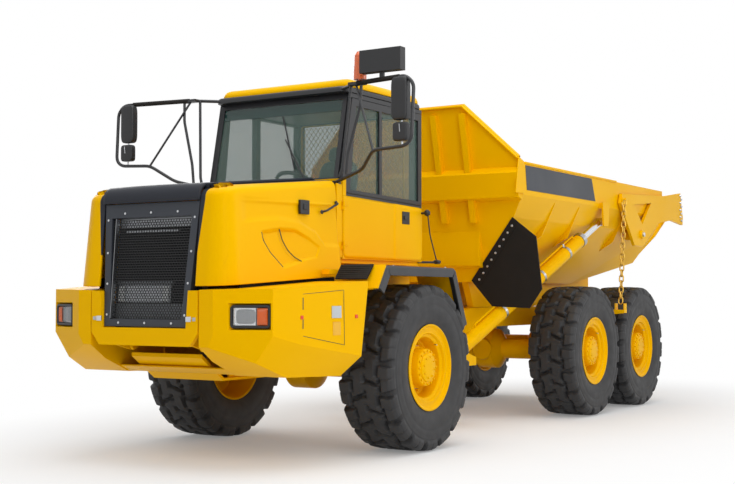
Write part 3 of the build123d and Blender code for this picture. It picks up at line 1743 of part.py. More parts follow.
# Tailgate: rear plate between two side arms that pivot on the bin's flanks
with BuildPart() as tailgate:
    for hand in (-1, 1):
        low_x = min(hand * arm_x, hand * (arm_x + arm_plate))
        with BuildSketch(Plane.YZ.offset(low_x)):
            Polygon(
                *side(
                    [
                        (chain_top[0] - 60, chain_top[1] - 50),
                        (5640, 2150),
                        (5950, 2150),
                        (6614, 2496),
                        (7146, 2566),
                        (7670, 2520),
                        (7690, 2620),
                        (7580, 2985),
                        (6900, 2900),
                        (chain_top[0], chain_top[1] + 70),
                    ]
                ),
                align=None,
            )
            Polygon(*side([(5620, 2700), (6300, 2760), (5940, 2450)]), align=None, mode=Mode.SUBTRACT)
        extrude(amount=arm_plate)
        with BuildSketch(Plane.YZ.offset(min(hand * (arm_x + arm_plate), hand * 1290))):
            with Locations((at(gate_pivot[0]), gate_pivot[1])):
                Circle(gate_pin_radius)
        extrude(amount=arm_x + arm_plate - 1290)
        with BuildSketch(Plane.YZ.offset(min(hand * arm_x, hand * (chain_x + 25)))):
            with Locations((at(chain_top[0]), chain_top[1])):
                Circle(chain_pin_radius)
        extrude(amount=chain_x + 25 - arm_x)
    gate_low = Vector(0, at(6935), 1960)
    gate_high = Vector(0, at(7600), 2960)
    gate_up = (gate_high - gate_low).normalized()
    gate_plane = Plane(origin=gate_low, x_dir=(1, 0, 0), z_dir=Vector(1, 0, 0).cross(gate_up))
    with BuildSketch(gate_plane):
        Polygon(
            (-880, 0),
            (880, 0),
            (1170, 480),
            (1290, 800),
            (arm_x, 860),
            (arm_x, 1190),
            (-arm_x, 1190),
            (-arm_x, 860),
            (-1290, 800),
            (-1170, 480),
            align=None,
        )
    extrude(amount=-30)
save(tailgate.part, "tailgate")

# Gate chains: flat links in turn upright and crosswise, from the arm's bracket to the frame's ears
link_count = 7
link_wire = 26
link_width = 84
with BuildPart() as gate_chain:
    pin = Vector(chain_x, at(chain_top[0]), chain_top[1])
    foot = Vector(chain_x, at(chain_foot[0]), chain_foot[1])
    down = (foot - pin).normalized()
    top = pin - down * (chain_pin_radius + seat_gap + link_wire / 2)
    link_pitch = (foot - top).length / link_count
    for link in range(link_count):
        start = top + down * (link * link_pitch - link_wire / 2)
        flat = Vector(1, 0, 0) if link % 2 else Vector(0, 1, 0)
        link_normal = down.cross(flat).normalized()
        link_plane = Plane(origin=start, x_dir=down, z_dir=link_normal)
        with BuildSketch(link_plane.offset(-link_wire / 2)):
            with Locations(((link_pitch + link_wire) / 2, 0)):
                Rectangle(link_pitch + link_wire, link_width)
                Rectangle(link_pitch - link_wire, link_width - 2 * link_wire, mode=Mode.SUBTRACT)
        extrude(amount=link_wire)
save_solids(both_sides(gate_chain.part), "gate_chains")

# Tipping cylinders, splayed outward from the frame to the bin's flanks, each on a ball at its foot
hoist_barrel_radius = 82
hoist_rod_radius = 45
hoist_barrel_length = 2760
for hand, cylinder_side in ((1, "left"), (-1, "right")):
    base = Vector(hand * hoist_base[0], at(hoist_base[1]), hoist_base[2])
    eye = Vector(hand * hoist_eye[0], at(hoist_eye[1]), hoist_eye[2])
    along = (eye - base).normalized()
    span = (eye - base).length
    across = Vector(1, 0, 0) - along * along.X
    with BuildPart() as hoist_barrel:
        with BuildSketch(along_plane(base, along, hoist_ball_radius + 5, across)):
            Circle(40)
        extrude(amount=80)
        with BuildSketch(along_plane(base, along, 120, across)):
            Circle(hoist_barrel_radius)
        extrude(amount=hoist_barrel_length - 120)
        with BuildSketch(Plane.YZ.offset(base.X - hoist_eye_half)):
            with Locations((base.Y, base.Z)):
                Circle(80)
        extrude(amount=2 * hoist_eye_half)
        with Locations(base):
            Sphere(hoist_ball_radius + hoist_ball_clearance, rotation=(0, 90, 0), mode=Mode.SUBTRACT)
        with BuildSketch(along_plane(base, along, 300, across)):
            Circle(hoist_rod_radius + rod_clearance)
        extrude(amount=hoist_barrel_length, mode=Mode.SUBTRACT)
    save(hoist_barrel.part, f"hoist_barrel_{cylinder_side}")
    with BuildPart() as hoist_rod:
        with BuildSketch(along_plane(base, along, 450, across)):
            Circle(hoist_rod_radius)
        extrude(amount=span - 450 - 30)
        with BuildSketch(Plane.YZ.offset(eye.X - hoist_eye_half)):
            with Locations((eye.Y, eye.Z)):
                Circle(50)
        extrude(amount=2 * hoist_eye_half)
    save(hoist_rod.part, f"hoist_rod_{cylinder_side}")
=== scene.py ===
# %% [markdown]
# # Articulated dump truck, dressed for a studio picture
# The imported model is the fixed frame: every body, joint and size comes from it. Each cell below
# adds one finish or one piece to it. All lengths are metres, +Z is up, the truck faces -Y and its
# left side is +X, and "distance" always means metres behind the front axle.

# %% Load the frame
import math
import bmesh
import bpy
import numpy as np
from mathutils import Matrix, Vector


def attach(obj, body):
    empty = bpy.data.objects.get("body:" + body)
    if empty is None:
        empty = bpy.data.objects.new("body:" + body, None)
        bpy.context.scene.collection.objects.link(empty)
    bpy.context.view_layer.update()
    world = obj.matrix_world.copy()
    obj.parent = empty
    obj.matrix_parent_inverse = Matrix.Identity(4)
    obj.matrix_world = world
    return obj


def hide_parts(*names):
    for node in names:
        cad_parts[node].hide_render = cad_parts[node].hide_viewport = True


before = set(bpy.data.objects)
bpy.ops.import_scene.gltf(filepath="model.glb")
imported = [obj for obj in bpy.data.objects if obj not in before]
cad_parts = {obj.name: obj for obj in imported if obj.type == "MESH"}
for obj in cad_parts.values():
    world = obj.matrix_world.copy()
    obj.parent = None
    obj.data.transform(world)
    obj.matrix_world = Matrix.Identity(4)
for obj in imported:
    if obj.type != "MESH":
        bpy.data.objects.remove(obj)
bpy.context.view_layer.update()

FRONT_AXLE_Y = -2.62
WHEEL_X = 1.1725
AXLE_Z = 0.798
WHEEL_DISTANCES = {"front": 0.0, "mid": 4.181, "rear": 5.851}

# %% [markdown]
# ## Colours and nodes
# Colours are written as the sRGB hex values that a paint card would give, and one function turns
# them into the linear numbers that the shaders work in. One more function adds a node with its
# settings and links, so a finish reads as a short list.


# %% Colour and node helpers
def linear(hex_colour):
    """sRGB to linear: under 0.04045 divide by 12.92, else ((c + 0.055) / 1.055) to the power 2.4."""
    c = np.array([int(hex_colour[i:i + 2], 16) for i in (1, 3, 5)]) / 255
    return (*np.where(c <= 0.04045, c / 12.92, ((c + 0.055) / 1.055) ** 2.4).tolist(), 1.0)


def add(tree, kind, settings=None, **inputs):
    """Adds a node. Settings are its properties; inputs are values, or other nodes' outputs to link.

    An input is named as on the node with _ for each space, or i0, i1... by its place.
    """
    node = tree.nodes.new(kind)
    for key, value in (settings or {}).items():
        setattr(node, key, value)
    for key, value in inputs.items():
        place = int(key[1:]) if key[0] == "i" and key[1:].isdigit() else key.replace("_", " ")
        if isinstance(value, bpy.types.NodeSocket):
            tree.links.new(value, node.inputs[place])
        else:
            node.inputs[place].default_value = value
    return node


def per_mm(size):
    """Scale of a pattern whose features are this many millimetres apart."""
    return 1000.0 / size


print("paint card yellow is", linear("#FBB600"))

# %% [markdown]
# ## Finishes
# Most surfaces of the truck are sprayed or moulded: an even colour that clouds a little from
# panel to panel, a roughness that wanders, and a fine bump such as orange peel or moulded grain.
# One function builds that family from real sizes in millimetres. A Bevel node lets the light
# catch the edges of folded plate, which on the real truck are never razor sharp.


# %% Function for sprayed and moulded finishes
def coated(name, colour, cloud, cloud_mm, rough, rough_spread, grain_mm, grain_depth, edge_mm, **fixed):
    """Finish from two near colours mixed by a large soft noise, with a fine bump over bevelled edges."""
    material = bpy.data.materials.new(name)
    material.use_nodes = True
    tree = material.node_tree
    tree.nodes.clear()
    place = add(tree, "ShaderNodeTexCoord").outputs["Object"]
    large = add(tree, "ShaderNodeTexNoise", None, Vector=place, Scale=per_mm(cloud_mm), Detail=4.0)
    tone = add(tree, "ShaderNodeMix", {"data_type": "RGBA"}, i0=large.outputs["Fac"],
               i6=linear(colour), i7=linear(cloud))
    wander = add(tree, "ShaderNodeMapRange", None, Value=large.outputs["Fac"], From_Min=0.3, From_Max=0.7,
                 To_Min=rough - rough_spread, To_Max=rough + rough_spread)
    fine = add(tree, "ShaderNodeTexNoise", None, Vector=place, Scale=per_mm(grain_mm), Detail=2.0)
    edge = add(tree, "ShaderNodeBevel", {"samples": 4}, Radius=edge_mm / 1000)
    bump = add(tree, "ShaderNodeBump", None, Height=fine.outputs["Fac"], Distance=grain_depth / 1000,
               Strength=1.0, Normal=edge.outputs["Normal"])
    shader = add(tree, "ShaderNodeBsdfPrincipled", None, Base_Color=tone.outputs[2],
                 Roughness=wander.outputs["Result"], Normal=bump.outputs["Normal"], **fixed)
    add(tree, "ShaderNodeOutputMaterial", None, Surface=shader.outputs["BSDF"])
    return material


# %% [markdown]
# The cab, hood, bin and frames are sprayed in two-part polyurethane machine enamel over steel: a
# warm yellow with a wet clear gloss and a faint orange peel about 5 mm across. Slate trim is the
# same paint in satin. Grab rails and mirror shells are black plastic with a moulded grain.

# %% Paints and plastics
yellow_enamel = coated("machine_yellow_enamel", "#FBC100", "#F5B800", 900, 0.34, 0.05, 6, 0.05, 7,
                       Coat_Weight=0.02, Coat_Roughness=0.06, IOR=1.5, Specular_IOR_Level=0.08,
                       Specular_Tint=linear("#FFC21A"))
slate_enamel = coated("slate_satin_enamel", "#363A42", "#31353C", 600, 0.42, 0.06, 5, 0.06, 6,
                      Coat_Weight=0.1, Coat_Roughness=0.25, IOR=1.5, Specular_IOR_Level=0.3)
black_enamel = coated("black_satin_enamel", "#1B1C1F", "#222327", 500, 0.38, 0.06, 5, 0.06, 5, IOR=1.5)
black_plastic = coated("black_moulded_plastic", "#17181A", "#1E1F22", 200, 0.5, 0.06, 2.5, 0.12, 4, IOR=1.5)
fender_plastic = coated("grey_moulded_fender_plastic", "#36373A", "#303134", 350, 0.55, 0.06, 3, 0.15, 8,
                        IOR=1.5)
flap_rubber = coated("black_rubber_sheet", "#14110F", "#1A1714", 250, 0.72, 0.08, 6, 0.3, 4, IOR=1.5,
                     Specular_IOR_Level=0.3)
radiator_paint = coated("radiator_grey_paint", "#8C9094", "#7C8085", 120, 0.45, 0.08, 4, 0.1, 3, IOR=1.5)
cooler_white = coated("white_cooler_tank_paint", "#F2F3F2", "#E6E8E8", 80, 0.4, 0.05, 4, 0.05, 3, IOR=1.5)
mesh_paint = coated("black_sprayed_steel_mesh", "#0C0D0E", "#131415", 150, 0.45, 0.06, 4, 0.1, 2, IOR=1.5)
seat_shell = coated("grey_green_seat_cloth", "#4B5650", "#3F4944", 60, 0.85, 0.05, 3, 0.5, 10,
                    Sheen_Weight=0.3, IOR=1.45)
print(len(bpy.data.materials), "finishes so far")

# %% [markdown]
# Tyre rubber is carbon-black rubber: matt, faintly grey where dust and mould wax dry on it. Its
# clouds are a hand's breadth wide and its grain is that of the mould's skin.

# %% Rubber, metals and glass
tyre_rubber = coated("tyre_rubber", "#222224", "#2B2B2C", 90, 0.62, 0.08, 4, 0.25, 2, IOR=1.52)


def metal(name, colour, rough, streak_mm, depth, stretch):
    """Bare metal whose roughness and bump follow one stretched noise, as turning or grinding leaves it."""
    material = bpy.data.materials.new(name)
    material.use_nodes = True
    tree = material.node_tree
    tree.nodes.clear()
    place = add(tree, "ShaderNodeTexCoord").outputs["Object"]
    turned = add(tree, "ShaderNodeMapping", None, Vector=place, Scale=stretch)
    streak = add(tree, "ShaderNodeTexNoise", None, Vector=turned.outputs["Vector"],
                 Scale=per_mm(streak_mm), Detail=3.0)
    wander = add(tree, "ShaderNodeMapRange", None, Value=streak.outputs["Fac"],
                 To_Min=rough * 0.7, To_Max=rough * 1.4)
    bump = add(tree, "ShaderNodeBump", None, Height=streak.outputs["Fac"], Distance=depth / 1000,
               Strength=0.6)
    shader = add(tree, "ShaderNodeBsdfPrincipled", None, Base_Color=linear(colour), Metallic=1.0,
                 Roughness=wander.outputs["Result"], Normal=bump.outputs["Normal"])
    add(tree, "ShaderNodeOutputMaterial", None, Surface=shader.outputs["BSDF"])
    return material


chrome_rod = metal("hard_chromed_rod", "#D9DADC", 0.14, 3, 0.02, (1.0, 0.2, 1.0))
zinc_bolt = metal("bright_zinc_plate", "#C6C8CB", 0.3, 6, 0.05, (1.0, 1.0, 1.0))
machined_steel = metal("machined_steel", "#A9ABAE", 0.32, 4, 0.05, (1.0, 1.0, 1.0))
chain_zinc = metal("yellow_zinc_chain", "#C9A24A", 0.4, 8, 0.1, (1.0, 1.0, 1.0))
radiator_fins = metal("radiator_aluminium", "#B9BCC0", 0.45, 5, 0.3, (1.0, 1.0, 0.2))


def glazing(name, colour, alpha, rough):
    """Tinted safety glass: a thin dark body colour that lets part of the light through, under a hard
    gloss."""
    material = bpy.data.materials.new(name)
    material.use_nodes = True
    tree = material.node_tree
    tree.nodes.clear()
    place = add(tree, "ShaderNodeTexCoord").outputs["Object"]
    film = add(tree, "ShaderNodeTexNoise", None, Vector=place, Scale=per_mm(400), Detail=2.0)
    wander = add(tree, "ShaderNodeMapRange", None, Value=film.outputs["Fac"], To_Min=rough,
                 To_Max=rough * 2.5)
    shader = add(tree, "ShaderNodeBsdfPrincipled", None, Base_Color=linear(colour), Alpha=alpha,
                 Roughness=wander.outputs["Result"], IOR=1.52, Coat_Weight=0.3, Coat_Roughness=0.02)
    add(tree, "ShaderNodeOutputMaterial", None, Surface=shader.outputs["BSDF"])
    return material


cab_glazing = glazing("green_tinted_safety_glass", "#5E7A70", 0.34, 0.02)
lens_glass = glazing("clear_lamp_lens", "#E8ECEF", 0.35, 0.03)
amber_glass = glazing("amber_lamp_lens", "#E8640E", 0.85, 0.06)
red_glass = glazing("red_reflector", "#E0421C", 0.97, 0.08)
lamp_mirror = metal("silvered_reflector", "#E9EAEC", 0.12, 20, 0.05, (1.0, 1.0, 1.0))
plate_steel = metal("blank_etched_plate", "#B4B8BA", 0.4, 8, 0.05, (1.0, 1.0, 1.0))
yellow_plate = coated("blank_yellow_plate", "#F0B62A", "#E8AE22", 60, 0.45, 0.05, 4, 0.05, 2, IOR=1.5)
sun_band_glass = glazing("deep_green_sun_band", "#12403A", 0.80, 0.02)
print(len(bpy.data.materials), "finishes in all")

# %% [markdown]
# ## Surfaces from arrays
# Every new piece is a grid of points worked out as a whole array, or a profile carried along a
# path. The helpers below turn such arrays into meshes: a grid closes in one or both directions,
# a weld joins seams and poles, and several parts may share one mesh.


# %% Mesh helpers
def grid_part(points, closed_u=False, closed_v=False, flip=False):
    """Quads over an array of points (rows u, columns v, 3), wrapped round where a direction is closed."""
    rows, columns = points.shape[:2]
    u = np.arange(rows if closed_u else rows - 1)[:, None]
    v = np.arange(columns if closed_v else columns - 1)[None, :]
    a = u * columns + v
    b = ((u + 1) % rows) * columns + v
    c = ((u + 1) % rows) * columns + (v + 1) % columns
    d = u * columns + (v + 1) % columns
    quads = np.stack([a, b, c, d], axis=-1).reshape(-1, 4)
    return points.reshape(-1, 3), quads[:, ::-1] if flip else quads


def build_piece(name, parts, finishes, body, replaces=(), sharp=40, recalculate=False, bevel=0.0):
    """One object from (points, faces) parts, each with the finish of the same place in the list."""
    finishes = finishes if isinstance(finishes, list) else [finishes] * len(parts)
    kinds = list(dict.fromkeys(finishes))
    starts = np.cumsum([0] + [len(points) for points, _ in parts])
    corners = np.concatenate([(faces + start).ravel() for (_, faces), start in zip(parts, starts)])
    totals = np.concatenate([np.full(len(faces), faces.shape[1]) for _, faces in parts])
    which = np.concatenate([np.full(len(faces), kinds.index(f)) for (_, faces), f in zip(parts, finishes)])
    mesh = bpy.data.meshes.new(name)
    mesh.vertices.add(int(starts[-1]))
    mesh.vertices.foreach_set("co", np.concatenate([points for points,
                                                    _ in parts]).ravel().astype(np.float32))
    mesh.loops.add(len(corners))
    mesh.loops.foreach_set("vertex_index", corners.astype(np.int32))
    mesh.polygons.add(len(totals))
    mesh.polygons.foreach_set("loop_start", (np.cumsum(totals) - totals).astype(np.int32))
    mesh.polygons.foreach_set("material_index", which.astype(np.int32))
    mesh.polygons.foreach_set("use_smooth", np.ones(len(totals), dtype=bool))
    mesh.update(calc_edges=True)
    mesh.validate()
    work = bmesh.new()
    work.from_mesh(mesh)
    bmesh.ops.remove_doubles(work, verts=work.verts, dist=1e-5)
    bmesh.ops.dissolve_degenerate(work, edges=work.edges, dist=1e-6)
    if recalculate:
        bmesh.ops.recalc_face_normals(work, faces=work.faces)
    work.to_mesh(mesh)
    work.free()
    mesh.set_sharp_from_angle(angle=math.radians(sharp))
    for kind in kinds:
        mesh.materials.append(kind)
    piece = bpy.data.objects.new(name, mesh)
    bpy.context.scene.collection.objects.link(piece)
    if bevel:
        soften = piece.modifiers.new("soft_edges", "BEVEL")
        soften.width = bevel
        soften.segments = 2
        soften.limit_method = "ANGLE"
        soften.angle_limit = math.radians(35)
    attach(piece, body)
    if replaces:
        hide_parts(*replaces)
    print(name, "has", len(mesh.polygons), "faces")
    return piece


def revolve_part(profile, sides, centre=(0, 0, 0), hand=1):
    """Profile rows (along, radius) turned round an axis along X through the centre."""
    along, radius = np.array(profile, dtype=float).T
    angle = np.linspace(0, 2 * np.pi, sides, endpoint=False)[:, None]
    points = np.stack([
        np.broadcast_to(hand * along, (sides, len(along))),
        np.sin(angle) * radius,
        np.cos(angle) * radius,
    ], axis=-1) + np.array(centre)
    return grid_part(points, closed_u=True, flip=hand > 0)


def frames_along(path, closed=False):
    """Unit tangents and two square directions along a path, the first kept as level as it can be."""
    ahead = np.roll(path, -1, axis=0) - path
    if not closed:
        ahead[-1] = ahead[-2]
    behind = np.roll(ahead, 1, axis=0)
    if not closed:
        behind[0] = ahead[0]
    ahead = ahead / np.linalg.norm(ahead, axis=1, keepdims=True)
    behind = behind / np.linalg.norm(behind, axis=1, keepdims=True)
    tangent = ahead + behind
    tangent = tangent / np.linalg.norm(tangent, axis=1, keepdims=True)
    guide = np.eye(3)[np.argmin(np.abs(tangent).mean(axis=0))]
    first = np.cross(tangent, guide)
    first = first / np.linalg.norm(first, axis=1, keepdims=True)
    return tangent, first, np.cross(tangent, first)


def tube_part(path, radius, sides=12, closed=False):
    """Circle of one or many radii carried along a path, its ends closed by a flat cap."""
    path = np.array(path, dtype=float)
    tangent, first, second = frames_along(path, closed)
    angle = np.linspace(0, 2 * np.pi, sides, endpoint=False)[None, :, None]
    radius = np.broadcast_to(np.asarray(radius, dtype=float), (len(path),))[:, None, None]
    points = path[:, None] + radius * (np.cos(angle) * first[:, None] + np.sin(angle) * second[:, None])
    if not closed:
        caps = [np.repeat(path[[i]][:, None], sides, axis=1) for i in (0, -1)]
        points = np.concatenate([caps[0], points, caps[1]])
    return grid_part(points, closed_u=closed, closed_v=True)


def rounded_path(corners, radius, steps=5):
    """Corners joined by straight runs, each inner corner replaced by a parabola this far from it."""
    corners = np.array(corners, dtype=float)
    runs = [corners[:1]]
    t = np.linspace(0, 1, steps + 1)[:, None]
    for before, corner, after in zip(corners, corners[1:], corners[2:]):
        reach_in = min(radius, np.linalg.norm(corner - before) * 0.45)
        reach_out = min(radius, np.linalg.norm(after - corner) * 0.45)
        start = corner + (before - corner) / np.linalg.norm(before - corner) * reach_in
        end = corner + (after - corner) / np.linalg.norm(after - corner) * reach_out
        runs.append((1 - t) ** 2 * start + 2 * t * (1 - t) * corner + t ** 2 * end)
    return np.concatenate(runs + [corners[-1:]])


def prism_part(outline, depth):
    """Flat outline (rows of x, y, z) pushed by a depth vector, closed by its two end faces."""
    base = np.array(outline, dtype=float)
    count = len(base)
    points = np.concatenate([base, base + np.array(depth, dtype=float)])
    i = np.arange(count)
    walls = np.stack([i, (i + 1) % count, (i + 1) % count + count, i + count], axis=-1)
    return points, walls, np.stack([i[::-1]]), np.stack([i + count])


def plate_parts(outline, depth):
    """The same prism as parts with equal corner counts, its faces turned outward for either winding."""
    points, walls, low, high = prism_part(outline, depth)
    area = np.cross(points[:len(points) // 2], np.roll(points[:len(points) // 2], -1, axis=0)).sum(axis=0)
    if np.dot(area, np.array(depth)) < 0:
        walls, low, high = walls[:, ::-1], low[:, ::-1], high[:, ::-1]
    return [(points, walls), (points, low), (points, high)]


def block_parts(low, high):
    """Upright box between two corners, as a plate pushed upward."""
    (x0, y0, z0), (x1, y1, z1) = low, high
    return plate_parts([(x0, y0, z0), (x1, y0, z0), (x1, y1, z0), (x0, y1, z0)], (0, 0, z1 - z0))


def studs_part(places, normal, radius, height, sides=6):
    """Low prisms with a domed end at each place, such as bolt heads, all worked out at once."""
    places = np.atleast_2d(np.array(places, dtype=float))
    normal = np.broadcast_to(np.array(normal, dtype=float), places.shape)
    normal = normal / np.linalg.norm(normal, axis=1, keepdims=True)
    guide = np.where(np.abs(normal[:, [2]]) < 0.9, np.array([[0, 0, 1.0]]), np.array([[1.0, 0, 0]]))
    first = np.cross(normal, guide)
    first = first / np.linalg.norm(first, axis=1, keepdims=True)
    second = np.cross(normal, first)
    angle = np.linspace(0, 2 * np.pi, sides, endpoint=False)[None, None, :, None]
    ring = np.array([0.0, 1.0, 1.0, 0.8, 0.0])[None, :, None, None] * radius
    rise = np.array([-0.2, -0.2, 0.8, 1.0, 1.0])[None, :, None, None] * height
    points = (places[:, None, None] + rise * normal[:, None, None]
              + ring * (np.cos(angle) * first[:, None, None] + np.sin(angle) * second[:, None, None]))
    count = len(places)
    _, quads = grid_part(points[0], closed_v=True)
    quads = (quads[None] + (np.arange(count) * 5 * sides)[:, None, None]).reshape(-1, 4)
    return points.reshape(-1, 3), quads


def pillow_part(centre, half, power=4.0, rows=20, columns=28):
    """Superellipsoid: |x/a|^p + |y/b|^p + |z/c|^p = 1, a box with every edge rounded."""
    lat = np.linspace(-np.pi / 2, np.pi / 2, rows)[:, None]
    lon = np.linspace(0, 2 * np.pi, columns, endpoint=False)[None, :]

    def soft(value):
        return np.sign(value) * np.abs(value) ** (2 / power)

    points = np.stack([
        half[0] * soft(np.cos(lat)) * soft(np.cos(lon)),
        half[1] * soft(np.cos(lat)) * soft(np.sin(lon)),
        half[2] * soft(np.sin(lat)) * np.ones_like(lon),
    ], axis=-1) + np.array(centre)
    return grid_part(points, closed_v=True, flip=True)


def mirrored(part):
    """The part's mirror image across the truck's centre plane, its faces turned back outward."""
    points, faces = part
    return points * np.array([-1.0, 1.0, 1.0]), faces[:, ::-1]


def at(distance):
    """Y of a place this far behind the front axle."""
    return distance + FRONT_AXLE_Y


def smooth_step(value):
    """3t^2 - 2t^3 with t held between 0 and 1: a ramp with soft ends."""
    t = np.clip(value, 0, 1)
    return t * t * (3 - 2 * t)


print("helpers ready")

# %% [markdown]
# ## Camera, floor and light
# The camera was worked out from the wheels, the grille and the cab's corners in the photograph:
# a 61 mm lens at eye height, 15 m away. The floor is pale and endless. Camera, mirror and glass
# rays see floor and sky as near white, as on a studio sweep, while the light on the truck stays
# at a plain level, so paint renders about as its hex value says.

# %% Camera
eye = Vector((7.308, -13.121, 1.501))
look = Vector((-0.5305, 0.8467, 0.0415))
lens = bpy.data.cameras.new("studio_camera")
lens.lens = 61.30
lens.sensor_width = 36.0
lens.clip_end = 400.0
camera = bpy.data.objects.new("studio_camera", lens)
camera.location = eye
camera.rotation_euler = look.to_track_quat("-Z", "Y").to_euler()
bpy.context.scene.collection.objects.link(camera)
bpy.context.scene.camera = camera
bpy.context.scene.view_settings.view_transform = "Standard"
print("camera is", round((eye - Vector((0, 0, 1.5))).length, 2), "m from the truck's middle")


# %% Floor and sky
def seen_directly(tree):
    """1 for camera, mirror and glass rays, 0 for the rays that carry light onto the truck."""
    path = add(tree, "ShaderNodeLightPath")
    clear = add(tree, "ShaderNodeMath", {"operation": "MAXIMUM"}, i0=path.outputs["Is Camera Ray"],
                i1=path.outputs["Is Transmission Ray"])
    mirror = add(tree, "ShaderNodeMath", {"operation": "MAXIMUM"}, i0=clear.outputs[0],
                 i1=path.outputs["Is Glossy Ray"])
    return mirror.outputs[0]


floor_finish = bpy.data.materials.new("studio_floor_paint")
floor_finish.use_nodes = True
floor_tree = floor_finish.node_tree
floor_tree.nodes.clear()
floor_place = add(floor_tree, "ShaderNodeTexCoord").outputs["Object"]
floor_noise = add(floor_tree, "ShaderNodeTexNoise", None, Vector=floor_place, Scale=per_mm(1500), Detail=3.0)
floor_tone = add(floor_tree, "ShaderNodeMix", {"data_type": "RGBA"}, i0=floor_noise.outputs["Fac"],
                 i6=linear("#F4F4F4"), i7=linear("#EFEFEF"))
floor_matt = add(floor_tree, "ShaderNodeBsdfDiffuse", None, Color=floor_tone.outputs[2])
floor_glow = add(floor_tree, "ShaderNodeEmission", None, Color=linear("#FFFFFF"), Strength=1.0)
floor_seen = seen_directly(floor_tree)
floor_oval = add(floor_tree, "ShaderNodeMapping", None, Vector=floor_place, Scale=(1.0, 0.55, 1.0))
floor_far = add(floor_tree, "ShaderNodeVectorMath", {"operation": "LENGTH"}, i0=floor_oval.outputs["Vector"])
floor_fade = add(floor_tree, "ShaderNodeMapRange", {"interpolation_type": "SMOOTHSTEP"},
                 Value=floor_far.outputs["Value"], From_Min=1.8, From_Max=5.0, To_Min=0.20, To_Max=1.0)
floor_share = add(floor_tree, "ShaderNodeMath", {"operation": "MULTIPLY"}, i0=floor_seen,
                  i1=floor_fade.outputs["Result"])
floor_mix = add(floor_tree, "ShaderNodeMixShader", None, i0=floor_share.outputs[0],
                i1=floor_matt.outputs[0], i2=floor_glow.outputs[0])
add(floor_tree, "ShaderNodeOutputMaterial", None, Surface=floor_mix.outputs[0])

reach = np.linspace(-60, 60, 2)
floor_points = np.stack([*np.meshgrid(reach, reach, indexing="ij"), np.zeros((2, 2))], axis=-1)
floor_mesh = bpy.data.meshes.new("studio_floor")
floor_mesh.from_pydata(floor_points.reshape(-1, 3).tolist(), [], [(0, 2, 3, 1)])
floor_mesh.materials.append(floor_finish)
floor = bpy.data.objects.new("studio_floor", floor_mesh)
bpy.context.scene.collection.objects.link(floor)

world = bpy.data.worlds.new("studio_sky")
world.use_nodes = True
bpy.context.scene.world = world
sky = world.node_tree
sky.nodes.clear()
sky_seen = seen_directly(sky)
fill_light = add(sky, "ShaderNodeBackground", None, Color=linear("#FFFFFF"), Strength=0.42)
white_view = add(sky, "ShaderNodeBackground", None, Color=linear("#FFFFFF"), Strength=1.0)
sky_mix = add(sky, "ShaderNodeMixShader", None, i0=sky_seen, i1=fill_light.outputs[0],
              i2=white_view.outputs[0])
add(sky, "ShaderNodeOutputWorld", None, Surface=sky_mix.outputs[0])


# %% Soft lamps
def soft_lamp(name, place, aim, size, power):
    """Square area lamp at a place, turned to shine at its aim."""
    light = bpy.data.lights.new(name, "AREA")
    light.shape = "RECTANGLE"
    light.size, light.size_y = size
    light.energy = power
    lamp = bpy.data.objects.new(name, light)
    lamp.location = place
    lamp.rotation_euler = (Vector(aim) - Vector(place)).to_track_quat("-Z", "Y").to_euler()
    bpy.context.scene.collection.objects.link(lamp)


soft_lamp("overhead_softbox", (1.5, -3.0, 11.0), (0, 0, 1.5), (9.0, 12.0), 750)
soft_lamp("front_left_softbox", (9.0, -10.0, 6.0), (0, -1.5, 1.6), (6.0, 5.0), 315)
soft_lamp("left_softbox", (11.0, 3.0, 5.0), (0, 2.0, 2.0), (7.0, 4.0), 225)
soft_lamp("right_rear_softbox", (-10.0, 4.0, 7.0), (0, 0, 2.0), (7.0, 5.0), 240)
print("floor, sky and four lamps set")

# %% [markdown]
# ## Tyres
# Wide single radials with two rows of centre blocks and curved shoulder lugs, seventeen of each to
# a turn, the left half set half a pitch on from the right. The whole tyre is one closed surface:
# one direction runs round the wheel, the other from bead to bead over the tread. Every point is
# mixed between a groove floor and a block top by a mask, which is the product of soft steps away
# from the zigzag and cross grooves.

# %% Tyre surface
TYRE_COLUMNS = 578
PITCHES = 17
FLOOR_X = [0.0, 0.10, 0.19, 0.245, 0.272, 0.284, 0.2895]
FLOOR_R = [0.758, 0.757, 0.752, 0.742, 0.728, 0.712, 0.694]
TOP_X = [0.0, 0.10, 0.20, 0.262, 0.288, 0.2975, 0.2955]
TOP_R = [0.798, 0.7975, 0.7945, 0.787, 0.765, 0.730, 0.700]
WALL_X = [0.2905, 0.2945, 0.2935, 0.2975, 0.2985, 0.2955, 0.2985, 0.2935, 0.280, 0.266, 0.262, 0.2545]
WALL_R = [0.686, 0.680, 0.672, 0.645, 0.606, 0.596, 0.586, 0.520, 0.462, 0.432, 0.420, 0.404]


def zigzag(turns):
    """Triangle wave between -1 and 1 with one period per turn."""
    return 4 * np.abs(turns - np.floor(turns) - 0.5) - 1


def away_from(offset, half_width, wall):
    """0 inside a groove of this half width, rising to 1 over its wall."""
    return smooth_step((np.abs(offset) - half_width) / wall)


